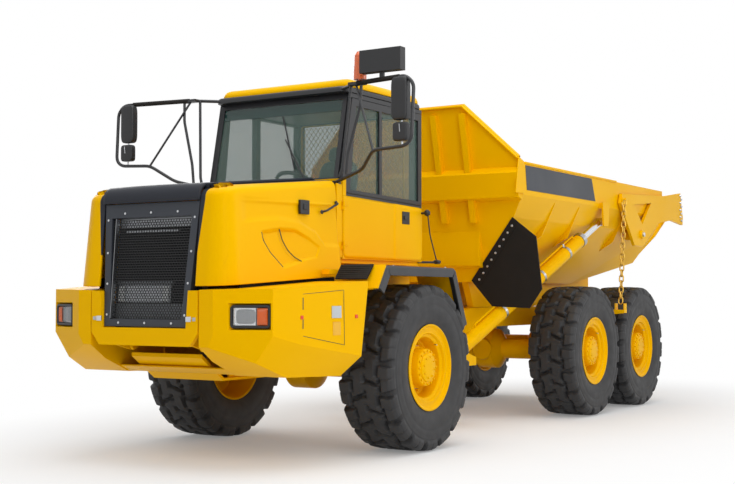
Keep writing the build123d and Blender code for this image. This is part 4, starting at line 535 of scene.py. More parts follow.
def tyre_part(centre, hand):
    """Carcass with blocks: floor + mask * (top - floor) over the tread, then the walls' rings."""
    station = np.linspace(0, 1, 23)
    knots = np.linspace(0, 1, 7)
    floor_x, floor_r = np.interp(station, knots, FLOOR_X), np.interp(station, knots, FLOOR_R)
    top_x, top_r = np.interp(station, knots, TOP_X), np.interp(station, knots, TOP_R)
    u = floor_x / FLOOR_X[-1]
    turn = np.arange(TYRE_COLUMNS) / TYRE_COLUMNS
    halves = []
    for half_side in (-1, 1):
        pitch = (turn * PITCHES + (0.5 if half_side > 0 else 0.0))[:, None]
        middle = away_from(half_side * u + 0.055 * zigzag(turn[:, None] * PITCHES + 0.25), 0.012, 0.035)
        between = away_from(u - 0.50 - 0.055 * zigzag(pitch + 0.2), 0.022, 0.035)
        cross_c = pitch + 0.42 * u
        cross_s = pitch + 0.5 + 0.20 * (u - 0.5) - 0.55 * (u - 0.5) ** 2
        centre_row = away_from(cross_c - np.round(cross_c), 0.035, 0.05)
        shoulder_row = away_from(cross_s - np.round(cross_s), 0.055 + 0.05 * smooth_step((u - 0.6) / 0.4),
                                 0.055)
        sipe = 1 - 0.18 * (1 - away_from(cross_s - np.round(cross_s) - 0.5
                                         * np.sign(cross_s - np.round(cross_s)),
                                         0.01, 0.03)) * smooth_step((u - 0.55) / 0.1)
        row = np.where(u < 0.5, centre_row, shoulder_row * sipe)
        fade = 1 - smooth_step((station - 0.93) / 0.07)
        mask = middle * between * row * fade
        x = floor_x + mask * (top_x - floor_x)
        r = floor_r + mask * (top_r - floor_r)
        wall_x = np.broadcast_to(np.array(WALL_X), (TYRE_COLUMNS, len(WALL_X)))
        wall_r = np.broadcast_to(np.array(WALL_R), (TYRE_COLUMNS, len(WALL_R)))
        halves.append((half_side * np.concatenate([x, wall_x], axis=1), np.concatenate([r, wall_r], axis=1)))
    (left_x, left_r), (right_x, right_r) = halves
    x = np.concatenate([left_x[:, ::-1], right_x[:, 1:]], axis=1)
    r = np.concatenate([left_r[:, ::-1], right_r[:, 1:]], axis=1)
    angle = 2 * np.pi * turn[:, None]
    points = np.stack([hand * x, r * np.sin(angle), r * np.cos(angle)], axis=-1) + np.array(centre)
    return grid_part(points, closed_u=True, closed_v=True, flip=hand > 0)


# %% Six tyres
for axle_name, distance in WHEEL_DISTANCES.items():
    for side_name, hand in (("left", 1), ("right", -1)):
        build_piece(f"tread_tyre_{axle_name}_{side_name}",
                    [tyre_part((hand * WHEEL_X, at(distance), AXLE_Z), hand)], tyre_rubber,
                    f"wheel_{axle_name}_{side_name}",
                    replaces=[f"tyre_{axle_name}_{side_name}"], sharp=50)

# %% [markdown]
# ## Rims
# Five-piece steel rims: a rolled flange, a gutter with its lock ring, a deep well and a disc
# bolted to the planetary hub, which stands out almost to the flange. They are turned shapes, so a
# profile is carried round the axle. Nuts and hub bolts are small prisms set out on circles.

# %% Rim profile
RIM_PROFILE = [
    (0.20, 0.401), (0.258, 0.403), (0.2625, 0.412), (0.2690, 0.415), (0.2725, 0.409), (0.2705, 0.400),
    (0.262, 0.394), (0.244, 0.384), (0.238, 0.372), (0.240, 0.350), (0.246, 0.338), (0.246, 0.330),
    (0.236, 0.322), (0.222, 0.318), (0.214, 0.300), (0.204, 0.290), (0.150, 0.284), (0.085, 0.280),
    (0.074, 0.268), (0.070, 0.255), (0.070, 0.215), (0.076, 0.206), (0.120, 0.203), (0.126, 0.197),
    (0.130, 0.186), (0.212, 0.181), (0.226, 0.176), (0.232, 0.166), (0.234, 0.140), (0.246, 0.134),
    (0.252, 0.122), (0.2545, 0.060), (0.2545, 0.0),
]
RIM_BACK = [
    (-0.02, 0.0), (-0.02, 0.168), (0.040, 0.172), (0.046, 0.26), (0.040, 0.372), (-0.20, 0.374),
    (-0.262, 0.392), (-0.268, 0.405), (-0.262, 0.412), (-0.25, 0.403), (0.0, 0.401), (0.20, 0.401),
]


def circle_places(x, radius, count, centre, hand, start=0.0):
    """Points evenly set round a circle that faces along X."""
    angle = start + np.arange(count) * 2 * np.pi / count
    return np.stack([np.full(count, hand * x), radius * np.sin(angle), radius * np.cos(angle)],
                    axis=-1) + centre


def rim_parts(centre, hand):
    """Turned rim, hub bolts, disc nuts, the hub's machined ring and the valve."""
    centre = np.array(centre)
    out = (hand, 0, 0)
    shell = revolve_part(RIM_PROFILE, 96, centre, hand)
    back = revolve_part(RIM_BACK, 64, centre, hand)
    hub_bolts = studs_part(circle_places(0.233, 0.160, 16, centre, hand), out, 0.0115, 0.012)
    cover_bolts = studs_part(circle_places(0.2535, 0.10, 8, centre, hand, 0.2), out, 0.009, 0.008)
    nuts = studs_part(circle_places(0.070, 0.236, 20, centre, hand), out, 0.015, 0.024)
    ring = revolve_part([(0.088, 0.204), (0.0885, 0.2065), (0.112, 0.2065), (0.1125, 0.204)], 96, centre,
                        hand)
    valve_foot = centre + np.array([hand * 0.20, 0.20, 0.2145])
    valve = tube_part([valve_foot, valve_foot + np.array([hand * 0.03, -0.006, -0.006])], 0.006, 8)
    return [shell, back, hub_bolts, cover_bolts, nuts, ring, valve]


for axle_name, distance in WHEEL_DISTANCES.items():
    for side_name, hand in (("left", 1), ("right", -1)):
        build_piece(f"turned_rim_{axle_name}_{side_name}",
                    rim_parts((hand * WHEEL_X, at(distance), AXLE_Z), hand),
                    [yellow_enamel] * 5 + [machined_steel, zinc_bolt],
                    f"wheel_{axle_name}_{side_name}",
                    replaces=[f"rim_{axle_name}_{side_name}"], sharp=35)

# %% [markdown]
# ## Hood
# One tilting hood covers the engine: tall flanks that lean in five degrees, rounded front corners,
# a rolled top edge and a leaf-shaped pocket pressed into each flank. It could be cut from blocks and
# bevelled, but a grid gives smooth highlights: one direction follows the outline seen from above,
# the other climbs the wall, rolls over the edge and runs in to the middle. The pocket is a smooth
# step of the distance to its outline.

# %% Hood outline and pocket
HOOD_TAPER = math.tan(math.radians(5))
HOOD_FOOT = 1.485
HOOD_SPLIT = 0.5475
HOOD_TOP_AT, HOOD_TOP_HEIGHT = [-2.475, -0.680], [2.388, 2.578]
POCKET = np.array([(-1.870, 2.033), (-1.855, 1.965), (-1.768, 1.864), (-1.650, 1.780), (-1.591, 1.738),
                   (-1.347, 1.787), (-1.063, 1.829), (-0.998, 1.932), (-1.160, 2.008), (-1.349, 2.073),
                   (-1.607, 2.070)])
POCKET_STEP = np.array([(-1.607, 2.070), (-1.575, 1.975), (-1.500, 1.885), (-1.400, 1.825), (-1.300, 1.795)])


def segment_distance(points, chain, closed):
    """Distance from each point to a chain of segments: the least of the distances to each one."""
    start = chain if closed else chain[:-1]
    end = np.roll(chain, -1, axis=0) if closed else chain[1:]
    run = end - start
    offset = points[..., None, :] - start
    share = np.clip((offset * run).sum(-1) / (run ** 2).sum(-1), 0, 1)
    return np.linalg.norm(offset - share[..., None] * run, axis=-1).min(axis=-1)


def inside_outline(points, outline):
    """Even-odd rule: a level ray from an inner point crosses the closed outline an odd number of times."""
    a, b = outline, np.roll(outline, -1, axis=0)
    p = points[..., None, :]
    spans = (a[:, 1] > p[..., 1]) != (b[:, 1] > p[..., 1])
    crossing = (b[:, 0] - a[:, 0]) * (p[..., 1] - a[:, 1]) / (b[:, 1] - a[:, 1]) + a[:, 0]
    return (spans & (p[..., 0] < crossing)).sum(axis=-1) % 2 == 1


def pocket_depth(distance, height):
    """Depth pressed in: an 18 mm wide soft wall, a second step a third as deep, both fading rearward."""
    points = np.stack([distance, height], axis=-1)
    wall = smooth_step(segment_distance(points, POCKET, True) / 0.018) * inside_outline(points, POCKET)
    step_distance = segment_distance(points, POCKET_STEP, False)
    step_side = np.interp(height, POCKET_STEP[::-1, 1], POCKET_STEP[::-1, 0]) < distance
    fade = 1 - 0.75 * smooth_step((distance + 1.55) / 0.55)
    groove = np.exp(-(segment_distance(points, POCKET,
                                       True) / 0.009) ** 2) * smooth_step((-1.25 - distance) / 0.25)
    groove = groove + np.exp(-(step_distance / 0.009) ** 2)
    return wall * fade * (0.026 + 0.014 * smooth_step(step_distance / 0.016) * step_side) + 0.012 * groove


def filleted_outline(corners, radius, step):
    """Corners in plan joined by runs and true arcs, resampled at even steps along the line."""
    corners = np.array(corners, dtype=float)
    pieces = [corners[:1]]
    for before, corner, after in zip(corners, corners[1:], corners[2:]):
        a = (before - corner) / np.linalg.norm(before - corner)
        b = (after - corner) / np.linalg.norm(after - corner)
        half = np.arccos(np.clip(np.dot(a, b), -1, 1)) / 2
        centre = corner + (a + b) / np.linalg.norm(a + b) * radius / np.sin(half)
        first = corner + a * radius / np.tan(half) - centre
        last = corner + b * radius / np.tan(half) - centre
        turn = np.arctan2(first[0] * last[1] - first[1] * last[0], np.dot(first, last))
        angle = np.linspace(0, turn, 12)[:, None]
        pieces.append(centre + first * np.cos(angle) + np.array([-first[1], first[0]]) * np.sin(angle))
    line = np.concatenate(pieces + [corners[-1:]])
    length = np.concatenate([[0], np.cumsum(np.linalg.norm(np.diff(line, axis=0), axis=1))])
    even = np.linspace(0, length[-1], int(length[-1] / step) + 1)
    return np.stack([np.interp(even, length, line[:, 0]), np.interp(even, length, line[:, 1])], axis=-1)


# %% Hood surface
def hood_bottom(distance):
    """Height of the flank's lower edge, rising rearward from 1.565 to 1.668."""
    return np.interp(distance, [-2.475, -0.680], [1.565, 1.668])


def hood_top(distance, x):
    """Height of the top, a plane rising rearward with a crown of 12 mm across it."""
    return np.interp(distance, HOOD_TOP_AT, HOOD_TOP_HEIGHT) + 0.012 * (1 - np.clip(np.abs(x) / 0.8, 0,
                                                                                    1) ** 2)


def hood_shell():
    """Wall points lean inward with height, then turn through an arc and slide in to the middle panel."""
    plan = filleted_outline([(0.885, -0.680), (0.880, -2.425), (0.500, -2.425)], 0.24, 0.008)
    plan = plan[plan[:, 0] > HOOD_SPLIT]
    ahead = np.gradient(plan, axis=0)
    outward = np.stack([-ahead[:, 1], ahead[:, 0]], axis=-1) / np.linalg.norm(ahead, axis=1, keepdims=True)
    outward = np.where(outward[:, :1] * plan[:, :1] + outward[:, 1:] * (plan[:, 1:] + 1.4) < 0, -outward,
                       outward)
    edge = 0.085
    low = hood_bottom(plan[:, 1])
    high = np.interp(plan[:, 1], HOOD_TOP_AT, HOOD_TOP_HEIGHT) - edge
    share = np.linspace(0, 1, 105)[None, :]
    wall_z = low[:, None] + share * (high - low)[:, None]
    inset = (wall_z - HOOD_FOOT) * HOOD_TAPER
    arc = np.linspace(0, np.pi / 2, 10)[None, 1:]
    arc_z = high[:, None] + edge * np.sin(arc)
    arc_in = (high[:, None] - HOOD_FOOT) * HOOD_TAPER + edge * (1 - np.cos(arc))
    z = np.concatenate([wall_z, arc_z], axis=1)
    inward = np.concatenate([inset, arc_in], axis=1)
    xy = plan[:, None] - outward[:, None] * inward[..., None]
    flank = smooth_step((plan[:, 1] + 2.185) / 0.14)[:, None]
    ridge = 0.007 * np.exp(-((z - 2.315 - 0.03 * (xy[..., 1] + 1.4)) / 0.012) ** 2) * flank
    arch = np.interp(xy[..., 1], [-2.30, -2.00, -1.60, -1.30, -1.05, -0.92],
                     [2.06, 2.11, 2.145, 2.125, 2.04, 1.93])
    shelf = 0.014 * smooth_step((z - arch) / 0.05) * smooth_step((2.34 - z) / 0.06) * flank
    press = pocket_depth(xy[..., 1], z) * flank - ridge + shelf
    xy = xy - outward[:, None] * press[..., None]
    reach_in = np.linspace(0, 1, 22)[None, 1:, None]
    last = xy[:, -1:]
    goal_y = np.minimum(np.maximum(last[..., 1], -2.345), -0.680)
    goal = np.stack([np.full_like(goal_y, HOOD_SPLIT), goal_y], axis=-1)
    top_xy = last + reach_in * (goal - last)
    top_z = hood_top(top_xy[..., 1], top_xy[..., 0])
    start_z = z[:, -1:]
    blend = smooth_step(reach_in[..., 0] / 0.5)
    top_z = start_z + (np.interp(top_xy[..., 1], HOOD_TOP_AT, HOOD_TOP_HEIGHT) - np.interp(
        last[..., 1], HOOD_TOP_AT, HOOD_TOP_HEIGHT)) + blend * (top_z - np.interp(
            top_xy[..., 1], HOOD_TOP_AT, HOOD_TOP_HEIGHT))
    xy = np.concatenate([xy, top_xy], axis=1)
    z = np.concatenate([z, top_z], axis=1)
    points = np.stack([xy[..., 0], xy[..., 1] + FRONT_AXLE_Y, z], axis=-1)
    return grid_part(points, flip=True)


def hood_middle():
    """Top between the flanks: x across, and along it a brow that rolls down to the grille frame."""
    x = np.linspace(-HOOD_SPLIT, HOOD_SPLIT, 41)[:, None]
    arc = np.linspace(0, np.pi / 2, 10)[None, :]
    front = -2.425 + 0.0787
    front_y = np.concatenate([[[front - 0.001]], front + 0.085 * (1 - np.cos(arc))], axis=1)
    base = np.interp(front + 0.085, HOOD_TOP_AT, HOOD_TOP_HEIGHT)
    front_z = np.concatenate([[[2.292]], base - 0.085 + 0.085 * np.sin(arc)], axis=1)
    run = np.linspace(front + 0.085, -0.680, 60)[None, 1:]
    y = np.concatenate([front_y, run], axis=1) + 0 * x
    z = np.concatenate([front_z + 0 * x, np.interp(run, HOOD_TOP_AT, HOOD_TOP_HEIGHT) + 0 * x], axis=1)
    lift = smooth_step((y - front) / 0.085)
    z = z + lift * 0.012 * (1 - (np.abs(x) / 0.8) ** 2)
    return grid_part(np.stack([x + 0 * y, y + FRONT_AXLE_Y, z], axis=-1), flip=True)


# %% [markdown]
# The hood's middle and the strip beside the grille are slate, the rest is yellow, parted by a line
# that widens toward the windshield. The two paints meet along that line, so one finish mixes them
# by where a point lies: half-widths are read from a short curve along the hood and up its front.

# %% Two-tone enamel
def two_tone(name):
    """Slate where |x| is under the half-width of the middle panel at that place, yellow beyond it."""
    material = yellow_enamel.copy()
    material.name = name
    tree = material.node_tree
    shader = next(node for node in tree.nodes if node.type == "BSDF_PRINCIPLED")
    yellow_tone = shader.inputs["Base Color"].links[0].from_socket
    place = add(tree, "ShaderNodeTexCoord").outputs["Object"]
    parts = add(tree, "ShaderNodeSeparateXYZ", None, Vector=place)
    along = add(tree, "ShaderNodeMapRange", None, Value=parts.outputs["Y"], From_Min=at(-2.345),
                From_Max=at(-0.55), To_Min=0.0, To_Max=0.150)
    climb = add(tree, "ShaderNodeMapRange", None, Value=parts.outputs["Z"], From_Min=1.553,
                From_Max=2.298, To_Min=0.515, To_Max=0.600)
    half = add(tree, "ShaderNodeMath", {"operation": "ADD"}, i0=along.outputs["Result"],
               i1=climb.outputs["Result"])
    side = add(tree, "ShaderNodeMath", {"operation": "ABSOLUTE"}, i0=parts.outputs["X"])
    slate = add(tree, "ShaderNodeMath", {"operation": "LESS_THAN"}, i0=side.outputs[0], i1=half.outputs[0])
    tone = add(tree, "ShaderNodeMix", {"data_type": "RGBA"}, i0=slate.outputs[0], i6=yellow_tone,
               i7=linear("#363A42"))
    tree.links.new(tone.outputs[2], shader.inputs["Base Color"])
    return material


hood_enamel = two_tone("hood_two_tone_enamel")
shell = hood_shell()
hood_piece = build_piece("hood_shell", [shell, mirrored(shell), hood_middle()], hood_enamel, "hood_body",
                         replaces=["hood"], sharp=30)
thick = hood_piece.modifiers.new("sheet_thickness", "SOLIDIFY")
thick.thickness = 0.028
thick.offset = -1

# %% Hood latch and grab handle
latch_body = block_parts((0.812, at(-1.305), 2.222), (0.838, at(-1.164), 2.350))
button = block_parts((0.836, at(-1.262), 2.262), (0.846, at(-1.205), 2.318))
bar = tube_part(rounded_path([(0.815, at(-0.953), 2.257), (0.865, at(-0.930), 2.268),
                              (0.858, at(-0.725), 2.348), (0.805, at(-0.702), 2.356)], 0.02), 0.011, 10)
feet = studs_part([(0.826, at(-0.953), 2.257), (0.818, at(-0.702), 2.356)], (1, 0, 0.1), 0.020, 0.010, 12)
latch_parts = latch_body + button + [bar, feet]
latch_parts += [mirrored(part) for part in latch_parts]
build_piece("hood_latches", latch_parts, black_plastic, "hood_body", bevel=0.004)

# %% [markdown]
# ## Grille and cooler
# The frame of folded slate plate holds a guard of black woven wire, staggered like brickwork, 30 mm
# by 22 mm. Behind it the cooler shows as a silvery header at the top and a pale block with two
# bright tanks in the lower third. Bars are cheap as closed prisms on a tilted plane.

# %% Grille plane helper
GRILLE_LEAN = math.atan2(0.086, 1.067)
GRILLE_UP = np.array([0, math.sin(GRILLE_LEAN), math.cos(GRILLE_LEAN)])
GRILLE_OUT = np.array([0, -math.cos(GRILLE_LEAN), math.sin(GRILLE_LEAN)])
GRILLE_FOOT = np.array([0, at(-2.431), 1.222])


def on_grille(x, rise, depth):
    """Place on the grille's plane: across it, up it, and behind it by a depth."""
    x, rise, depth = np.broadcast_arrays(*(np.asarray(v, dtype=float)[..., None] for v in (x, rise, depth)))
    return GRILLE_FOOT + x * np.array([1.0, 0, 0]) + rise * GRILLE_UP - depth * GRILLE_OUT


def bars_part(low_x, high_x, low_rise, high_rise, near, far):
    """Many upright boxes on the grille's plane at once, each with eight corners and six faces."""
    low_x, high_x, low_rise, high_rise = np.broadcast_arrays(*(np.atleast_1d(v) for v in
                                                               (low_x, high_x, low_rise, high_rise)))
    x = np.stack([low_x, high_x, high_x, low_x] * 2, axis=-1)
    rise = np.stack([low_rise, low_rise, high_rise, high_rise] * 2, axis=-1)
    depth = np.array([near] * 4 + [far] * 4)
    faces = np.array([(0, 1, 2, 3), (7, 6, 5, 4), (0, 4, 5, 1), (1, 5, 6, 2), (2, 6, 7, 3), (3, 7, 4, 0)])
    points = on_grille(x, rise, depth + 0 * x)
    quads = faces[None] + 8 * np.arange(len(x))[:, None, None]
    return points.reshape(-1, 3), quads.reshape(-1, 4)


# %% Woven guard, bolts and cooler
row_rise = np.arange(0.066, 0.945, 0.022)
half_open = np.interp(row_rise, [0.062, 0.9465], [0.402, 0.4535])
course = bars_part(-half_open, half_open, row_rise - 0.0028, row_rise + 0.0028, 0.020, 0.028)
cell_x = np.arange(-0.45, 0.451, 0.030)
grid_x, grid_row = np.meshgrid(cell_x, np.arange(len(row_rise) - 1))
grid_x = grid_x + 0.015 * (grid_row % 2)
keep = np.abs(grid_x) < half_open[grid_row] - 0.004
weft = bars_part(grid_x[keep] - 0.0024, grid_x[keep] + 0.0024, row_rise[grid_row[keep]],
                 row_rise[grid_row[keep]] + 0.022, 0.021, 0.027)
build_piece("grille_guard", [course, weft], mesh_paint, "front_panel",
            replaces=["grille_mesh"])

bolt_places = [(x * np.interp(r, [0, 1.07], [0.435, 0.500]), r) for x in (-1, 1) for r in (0.10, 0.37, 0.64,
                                                                                           0.93)]
bolt_places += [(x, r) for x in (-0.30, 0.0, 0.30) for r in (0.031, 0.985)]
bolt_x, bolt_rise = np.array(bolt_places).T
bolts = studs_part(on_grille(bolt_x, bolt_rise, 0.0 * bolt_x), GRILLE_OUT, 0.0105, 0.007, 10)
edge_strip = bars_part(-0.4045, -0.4005, 0.068, 0.94, -0.001, 0.045)
build_piece("grille_bolts", [bolts, edge_strip], [zinc_bolt, machined_steel], "front_panel")

fins_x = np.arange(-0.465, 0.466, 0.010)
fins = bars_part(fins_x - 0.001, fins_x + 0.001, 0.02, 1.00, 0.120, 0.150)
backing = bars_part(-0.47, 0.47, 0.0, 1.03, 0.150, 0.168)
header = bars_part(-0.42, 0.39, 0.868, 0.965, 0.085, 0.119)
header_rail = bars_part(-0.36, 0.24, 0.828, 0.848, 0.085, 0.119)
upper_core = bars_part(-0.40, 0.20, 0.215, 0.365, 0.085, 0.119)
upper_rail = bars_part(-0.41, 0.21, 0.370, 0.395, 0.080, 0.119)
lower_core = bars_part(-0.42, 0.36, 0.065, 0.200, 0.085, 0.119)
tanks = bars_part([-0.385, 0.120], [-0.320, 0.185], 0.218, 0.355, 0.070, 0.119)
build_piece("cooler_core", [fins, backing, header, header_rail, upper_core, upper_rail, lower_core, tanks],
            [black_enamel, mesh_paint, radiator_fins, radiator_fins, radiator_fins, radiator_paint,
             radiator_paint,
             cooler_white], "front_frame")

# %% [markdown]
# ## Side boxes and headlamps
# Folded plate boxes flank the grille. Their flat panels run between five-cornered sections, so each
# panel is two triangles between neighbouring sections. The panel that carries the headlamp is a
# frame round a pocket instead. The lamp is a dark rounded bezel with a bright reflector bowl behind
# a fluted clear lens inboard, and an amber indicator outboard.

# %% Side box panels
BOX_SECTIONS = [
    (-2.446, 0.0, [(0.612, 1.060), (0.700, 1.060), (0.760, 1.150), (0.760, 1.538), (0.612, 1.535)]),
    (-2.262, 0.0, [(0.612, 0.930), (1.060, 0.930), (1.235, 1.156), (1.235, 1.545), (0.612, 1.545)]),
    (-1.960, 0.0, [(0.612, 0.800), (1.150, 0.800), (1.300, 1.080), (1.300, 1.563), (0.612, 1.563)]),
    (-1.205, 0.150, [(0.612, 0.776), (1.200, 0.776), (1.400, 0.955), (1.400, 1.617), (0.612, 1.617)]),
]


def section_corners(distance, lean, corners):
    """Five corners of a section, each set back by the lean in proportion to its height."""
    x, z = np.array(corners).T
    back = lean * (z - z[0]) / (z[3] - z[0])
    return np.stack([x, at(distance + back), z], axis=-1)


def quad_part(a, b, c, d):
    """One four-cornered panel."""
    return np.array([a, b, c, d], dtype=float), np.array([(0, 1, 2, 3)])


sections = [section_corners(*row) for row in BOX_SECTIONS]
LAMP_FACE = sections[0][2], sections[1][2], sections[1][3], sections[0][3]
face_across = (LAMP_FACE[1] - LAMP_FACE[0]) / np.linalg.norm((LAMP_FACE[1] - LAMP_FACE[0])[:2])
face_across = np.array([face_across[0], face_across[1], 0.0]) / np.hypot(*face_across[:2])
face_out = np.array([face_across[1], -face_across[0], 0.0])


def on_face(run, height, depth=0.0):
    """Place on the lamp panel: metres along it from its inner edge, world height, and depth behind it."""
    run, height, depth = np.broadcast_arrays(*(np.asarray(v, dtype=float)[..., None] for v in (run, height,
                                                                                               depth)))
    return (LAMP_FACE[0] * np.array([1, 1, 0]) + run * face_across + height * np.array([0, 0, 1.0])
            - depth * face_out)


POCKET_RUN = (0.130, 0.494)
POCKET_Z = (1.205, 1.425)
POCKET_DEEP = 0.055
box_panels = []
for near, far in zip(sections, sections[1:]):
    for i in range(5):
        j = (i + 1) % 5
        if near is sections[0] and i == 2:
            continue
        box_panels.append(quad_part(near[i], far[i], far[j], near[j]))
box_panels.append((sections[0], np.array([(0, 1, 2), (0, 2, 3), (0, 3, 4)])))
box_panels.append((sections[-1], np.array([(0, 2, 1), (0, 3, 2), (0, 4, 3)])))
r0, r1 = POCKET_RUN
z0, z1 = POCKET_Z
a, b, c, d = LAMP_FACE
inner = [on_face(r0, z0), on_face(r1, z0), on_face(r1, z1), on_face(r0, z1)]
deep = [on_face(r0 + 0.05, z0 + 0.012, POCKET_DEEP), on_face(r1 - 0.008, z0 + 0.012, POCKET_DEEP),
        on_face(r1 - 0.008, z1 - 0.012, POCKET_DEEP), on_face(r0 + 0.05, z1 - 0.012, POCKET_DEEP)]
rim_quads = [quad_part(a, b, inner[1], inner[0]), quad_part(b, c, inner[2], inner[1]),
             quad_part(c, d, inner[3], inner[2]), quad_part(d, a, inner[0], inner[3])]
wall_quads = [quad_part(inner[i], inner[(i + 1) % 4], deep[(i + 1) % 4], deep[i]) for i in range(4)]
box_panels += rim_quads + wall_quads + [quad_part(*deep)]
build_piece("side_box_shells", box_panels + [mirrored(p) for p in box_panels], yellow_enamel, "front_frame",
            replaces=["side_boxes"], recalculate=True, sharp=20)


# %% Headlamps
def rounded_rectangle(half_run, half_rise, radius, count=40):
    """Rows of (run, rise): each angle's quarter circle is moved out to its own corner."""
    angle = (np.arange(count) + 0.5) * 2 * np.pi / count
    way = np.stack([np.cos(angle), np.sin(angle)], axis=-1)
    return way * radius + np.sign(way) * np.array([half_run - radius, half_rise - radius])


def lamp_ring(profile, centre_run, centre_z, half_run, half_rise, radius):
    """Closed rings of a rounded rectangle, each row of the profile giving (shrink, depth)."""
    rings = []
    for shrink, depth in profile:
        ring = rounded_rectangle(half_run - shrink, half_rise - shrink, max(radius - shrink, 0.004))
        rings.append(on_face(centre_run + ring[:, 0], centre_z + ring[:, 1], depth))
    return grid_part(np.stack(rings), closed_v=True, flip=True)


def lens_part(centre_run, centre_z, half_run, half_rise, depth, bulge, flutes, flute_depth):
    """Crowned lens, a (1-u^2)(1-v^2) bulge with fine upright flutes, 60 by 20 points."""
    u = np.linspace(-1, 1, 60)[:, None]
    v = np.linspace(-1, 1, 20)[None, :]
    rise = bulge * (1 - u ** 4) * (1 - v ** 4) + flute_depth * np.abs(np.sin(np.pi * flutes
                                                                             * u)) * (1 - v ** 6)
    return grid_part(on_face(centre_run + half_run * u + 0 * v, centre_z + half_rise * v + 0 * u,
                             depth - rise))


lamp_run, lamp_z, lamp_half, lamp_rise = 0.318, 1.315, 0.172, 0.096
bezel = lamp_ring([(0.0, 0.054), (0.0, 0.006), (0.006, -0.001), (0.016, -0.001), (0.022, 0.006),
                   (0.024, 0.040)],
                  lamp_run, lamp_z, lamp_half, lamp_rise, 0.034)
bowl = lens_part(lamp_run - 0.050, lamp_z, 0.098, 0.072, 0.045, -0.006, 0.5, 0.0)
clear_lens = lens_part(lamp_run - 0.050, lamp_z, 0.098, 0.072, 0.014, 0.008, 12, 0.0025)
amber_lens = lens_part(lamp_run + 0.100, lamp_z, 0.046, 0.070, 0.014, 0.008, 5, 0.0025)
divider = lens_part(lamp_run + 0.051, lamp_z, 0.004, 0.074, 0.008, 0.004, 0.5, 0.0)
tray = lens_part(lamp_run, lamp_z, 0.150, 0.074, 0.048, 0.0, 0.5, 0.0)
lamp_parts = [bezel, bowl, clear_lens, amber_lens, divider, tray]
lamp_finishes = [black_plastic, lamp_mirror, lens_glass, amber_glass, black_plastic, black_plastic]
build_piece("headlamp_units", lamp_parts + [mirrored(p) for p in lamp_parts], lamp_finishes * 2,
            "front_frame",
            replaces=["headlamps"])

# %% [markdown]
# Small fittings finish the boxes: a service door marked by its seam and two slot hinges, blank
# plates, red reflectors, and the silver clips of the folding bumper panel. A seam is a dark strip half a
# millimetre proud, laid along the panel on the box's own flank.

# %% Box fittings


def on_flank(distance, height, lift=0.0):
    """Place on the box's flank: it runs out from x 1.30 at -1.960 to 1.40 at -1.205."""
    distance, height = np.broadcast_arrays(np.asarray(distance, dtype=float),
                                           np.asarray(height, dtype=float))
    share = (distance + 1.960) / (0.755 + 0.150 * np.clip((height - 0.955) / 0.662, 0, 1))
    x = 1.300 + 0.100 * share
    return np.stack([x + lift * 0.991, distance + FRONT_AXLE_Y - lift * 0.13, height], axis=-1)


def strip_part(start, end, width, lift):
    """Thin closed strip along the flank between two (distance, height) places."""
    start, end = np.array(start, dtype=float), np.array(end, dtype=float)
    side = np.array([-(end - start)[1], (end - start)[0]]) / np.linalg.norm(end - start) * width / 2
    corners = [start - side, end - side, end + side, start + side]
    low = [on_flank(*corner, -0.002) for corner in corners]
    high = [on_flank(*corner, lift) for corner in corners]
    points = np.array(low + high)
    faces = np.array([(3, 2, 1, 0), (4, 5, 6, 7), (0, 1, 5, 4), (1, 2, 6, 5), (2, 3, 7, 6), (3, 0, 4, 7)])
    return points, faces


door_seam = [(-1.93, 1.500), (-1.40, 1.535), (-1.40, 1.060), (-1.93, 1.150)]
seams = [strip_part(p, q, 0.004, 0.0006) for p, q in zip(door_seam, door_seam[1:])]
slots = [strip_part((-1.93, z - 0.05), (-1.93, z + 0.05), 0.010, 0.0012) for z in (1.42, 1.26)]
plates = [strip_part((-1.50, 1.295), (-1.50, 1.398), 0.125, 0.0020),
          strip_part((-1.50, 1.147), (-1.50, 1.262), 0.10, 0.0012)]
red_spots = [strip_part((d, 1.290), (d, 1.320), 0.032, 0.006) for d in (-1.945, -1.235)]
fit_parts = seams + slots + plates + red_spots
fit_finishes = [black_enamel] * 5 + [plate_steel, yellow_plate] + [red_glass] * 2
build_piece("box_fittings", fit_parts + [mirrored(p) for p in fit_parts], fit_finishes * 2, "front_frame",
            recalculate=True)

front = at(-2.450)
clip_parts = []
for hand in (1, -1):
    plates_here = block_parts((0.478, front - 0.010, 1.268), (0.535, front + 0.002, 1.312))
    hooks = block_parts((0.545, front - 0.004, 1.274), (0.580, front + 0.002, 1.306))
    clip_parts += [(p if hand > 0 else mirrored(p), kind) for group, kind in
                   ((plates_here, zinc_bolt), (hooks, machined_steel)) for p in group]
build_piece("bumper_clips", [p for p, _ in clip_parts], [kind for _, kind in clip_parts], "front_panel",
            recalculate=True, bevel=0.003)

# %% [markdown]
# ## Cab roof and visor
# The roof is one pressed cap with a rolled rim, over a black visor that stands forward of the
# windshield. Both are stacks of rounded rectangles: each ring has its own inset and height, and
# the last ones close on the middle.

# %% Roof and visor rings
def ring_stack(centre, half, radius, rows, count=96):
    """Rounded rectangles one above the other, each row giving (inset, height); ends closed in the middle."""
    rings = []
    for inset, height in rows:
        ring = rounded_rectangle(half[0] - inset, half[1] - inset, max(radius - inset, 0.02), count)
        rings.append(np.column_stack([centre[0] + ring[:, 0], centre[1] + ring[:, 1],
                                      np.full(count, height)]))
    for end, rise in ((0, -0.001), (-1, 0.004)):
        flat = rings[end]
        middle = np.array([centre[0], centre[1], flat[0, 2] + rise])
        shares = (0.66, 0.33, 0.0)
        closing = [middle + (flat - middle) * share for share in shares]
        rings = closing[::-1] + rings if end == 0 else rings + closing
    return grid_part(np.stack(rings), closed_v=True, flip=True)


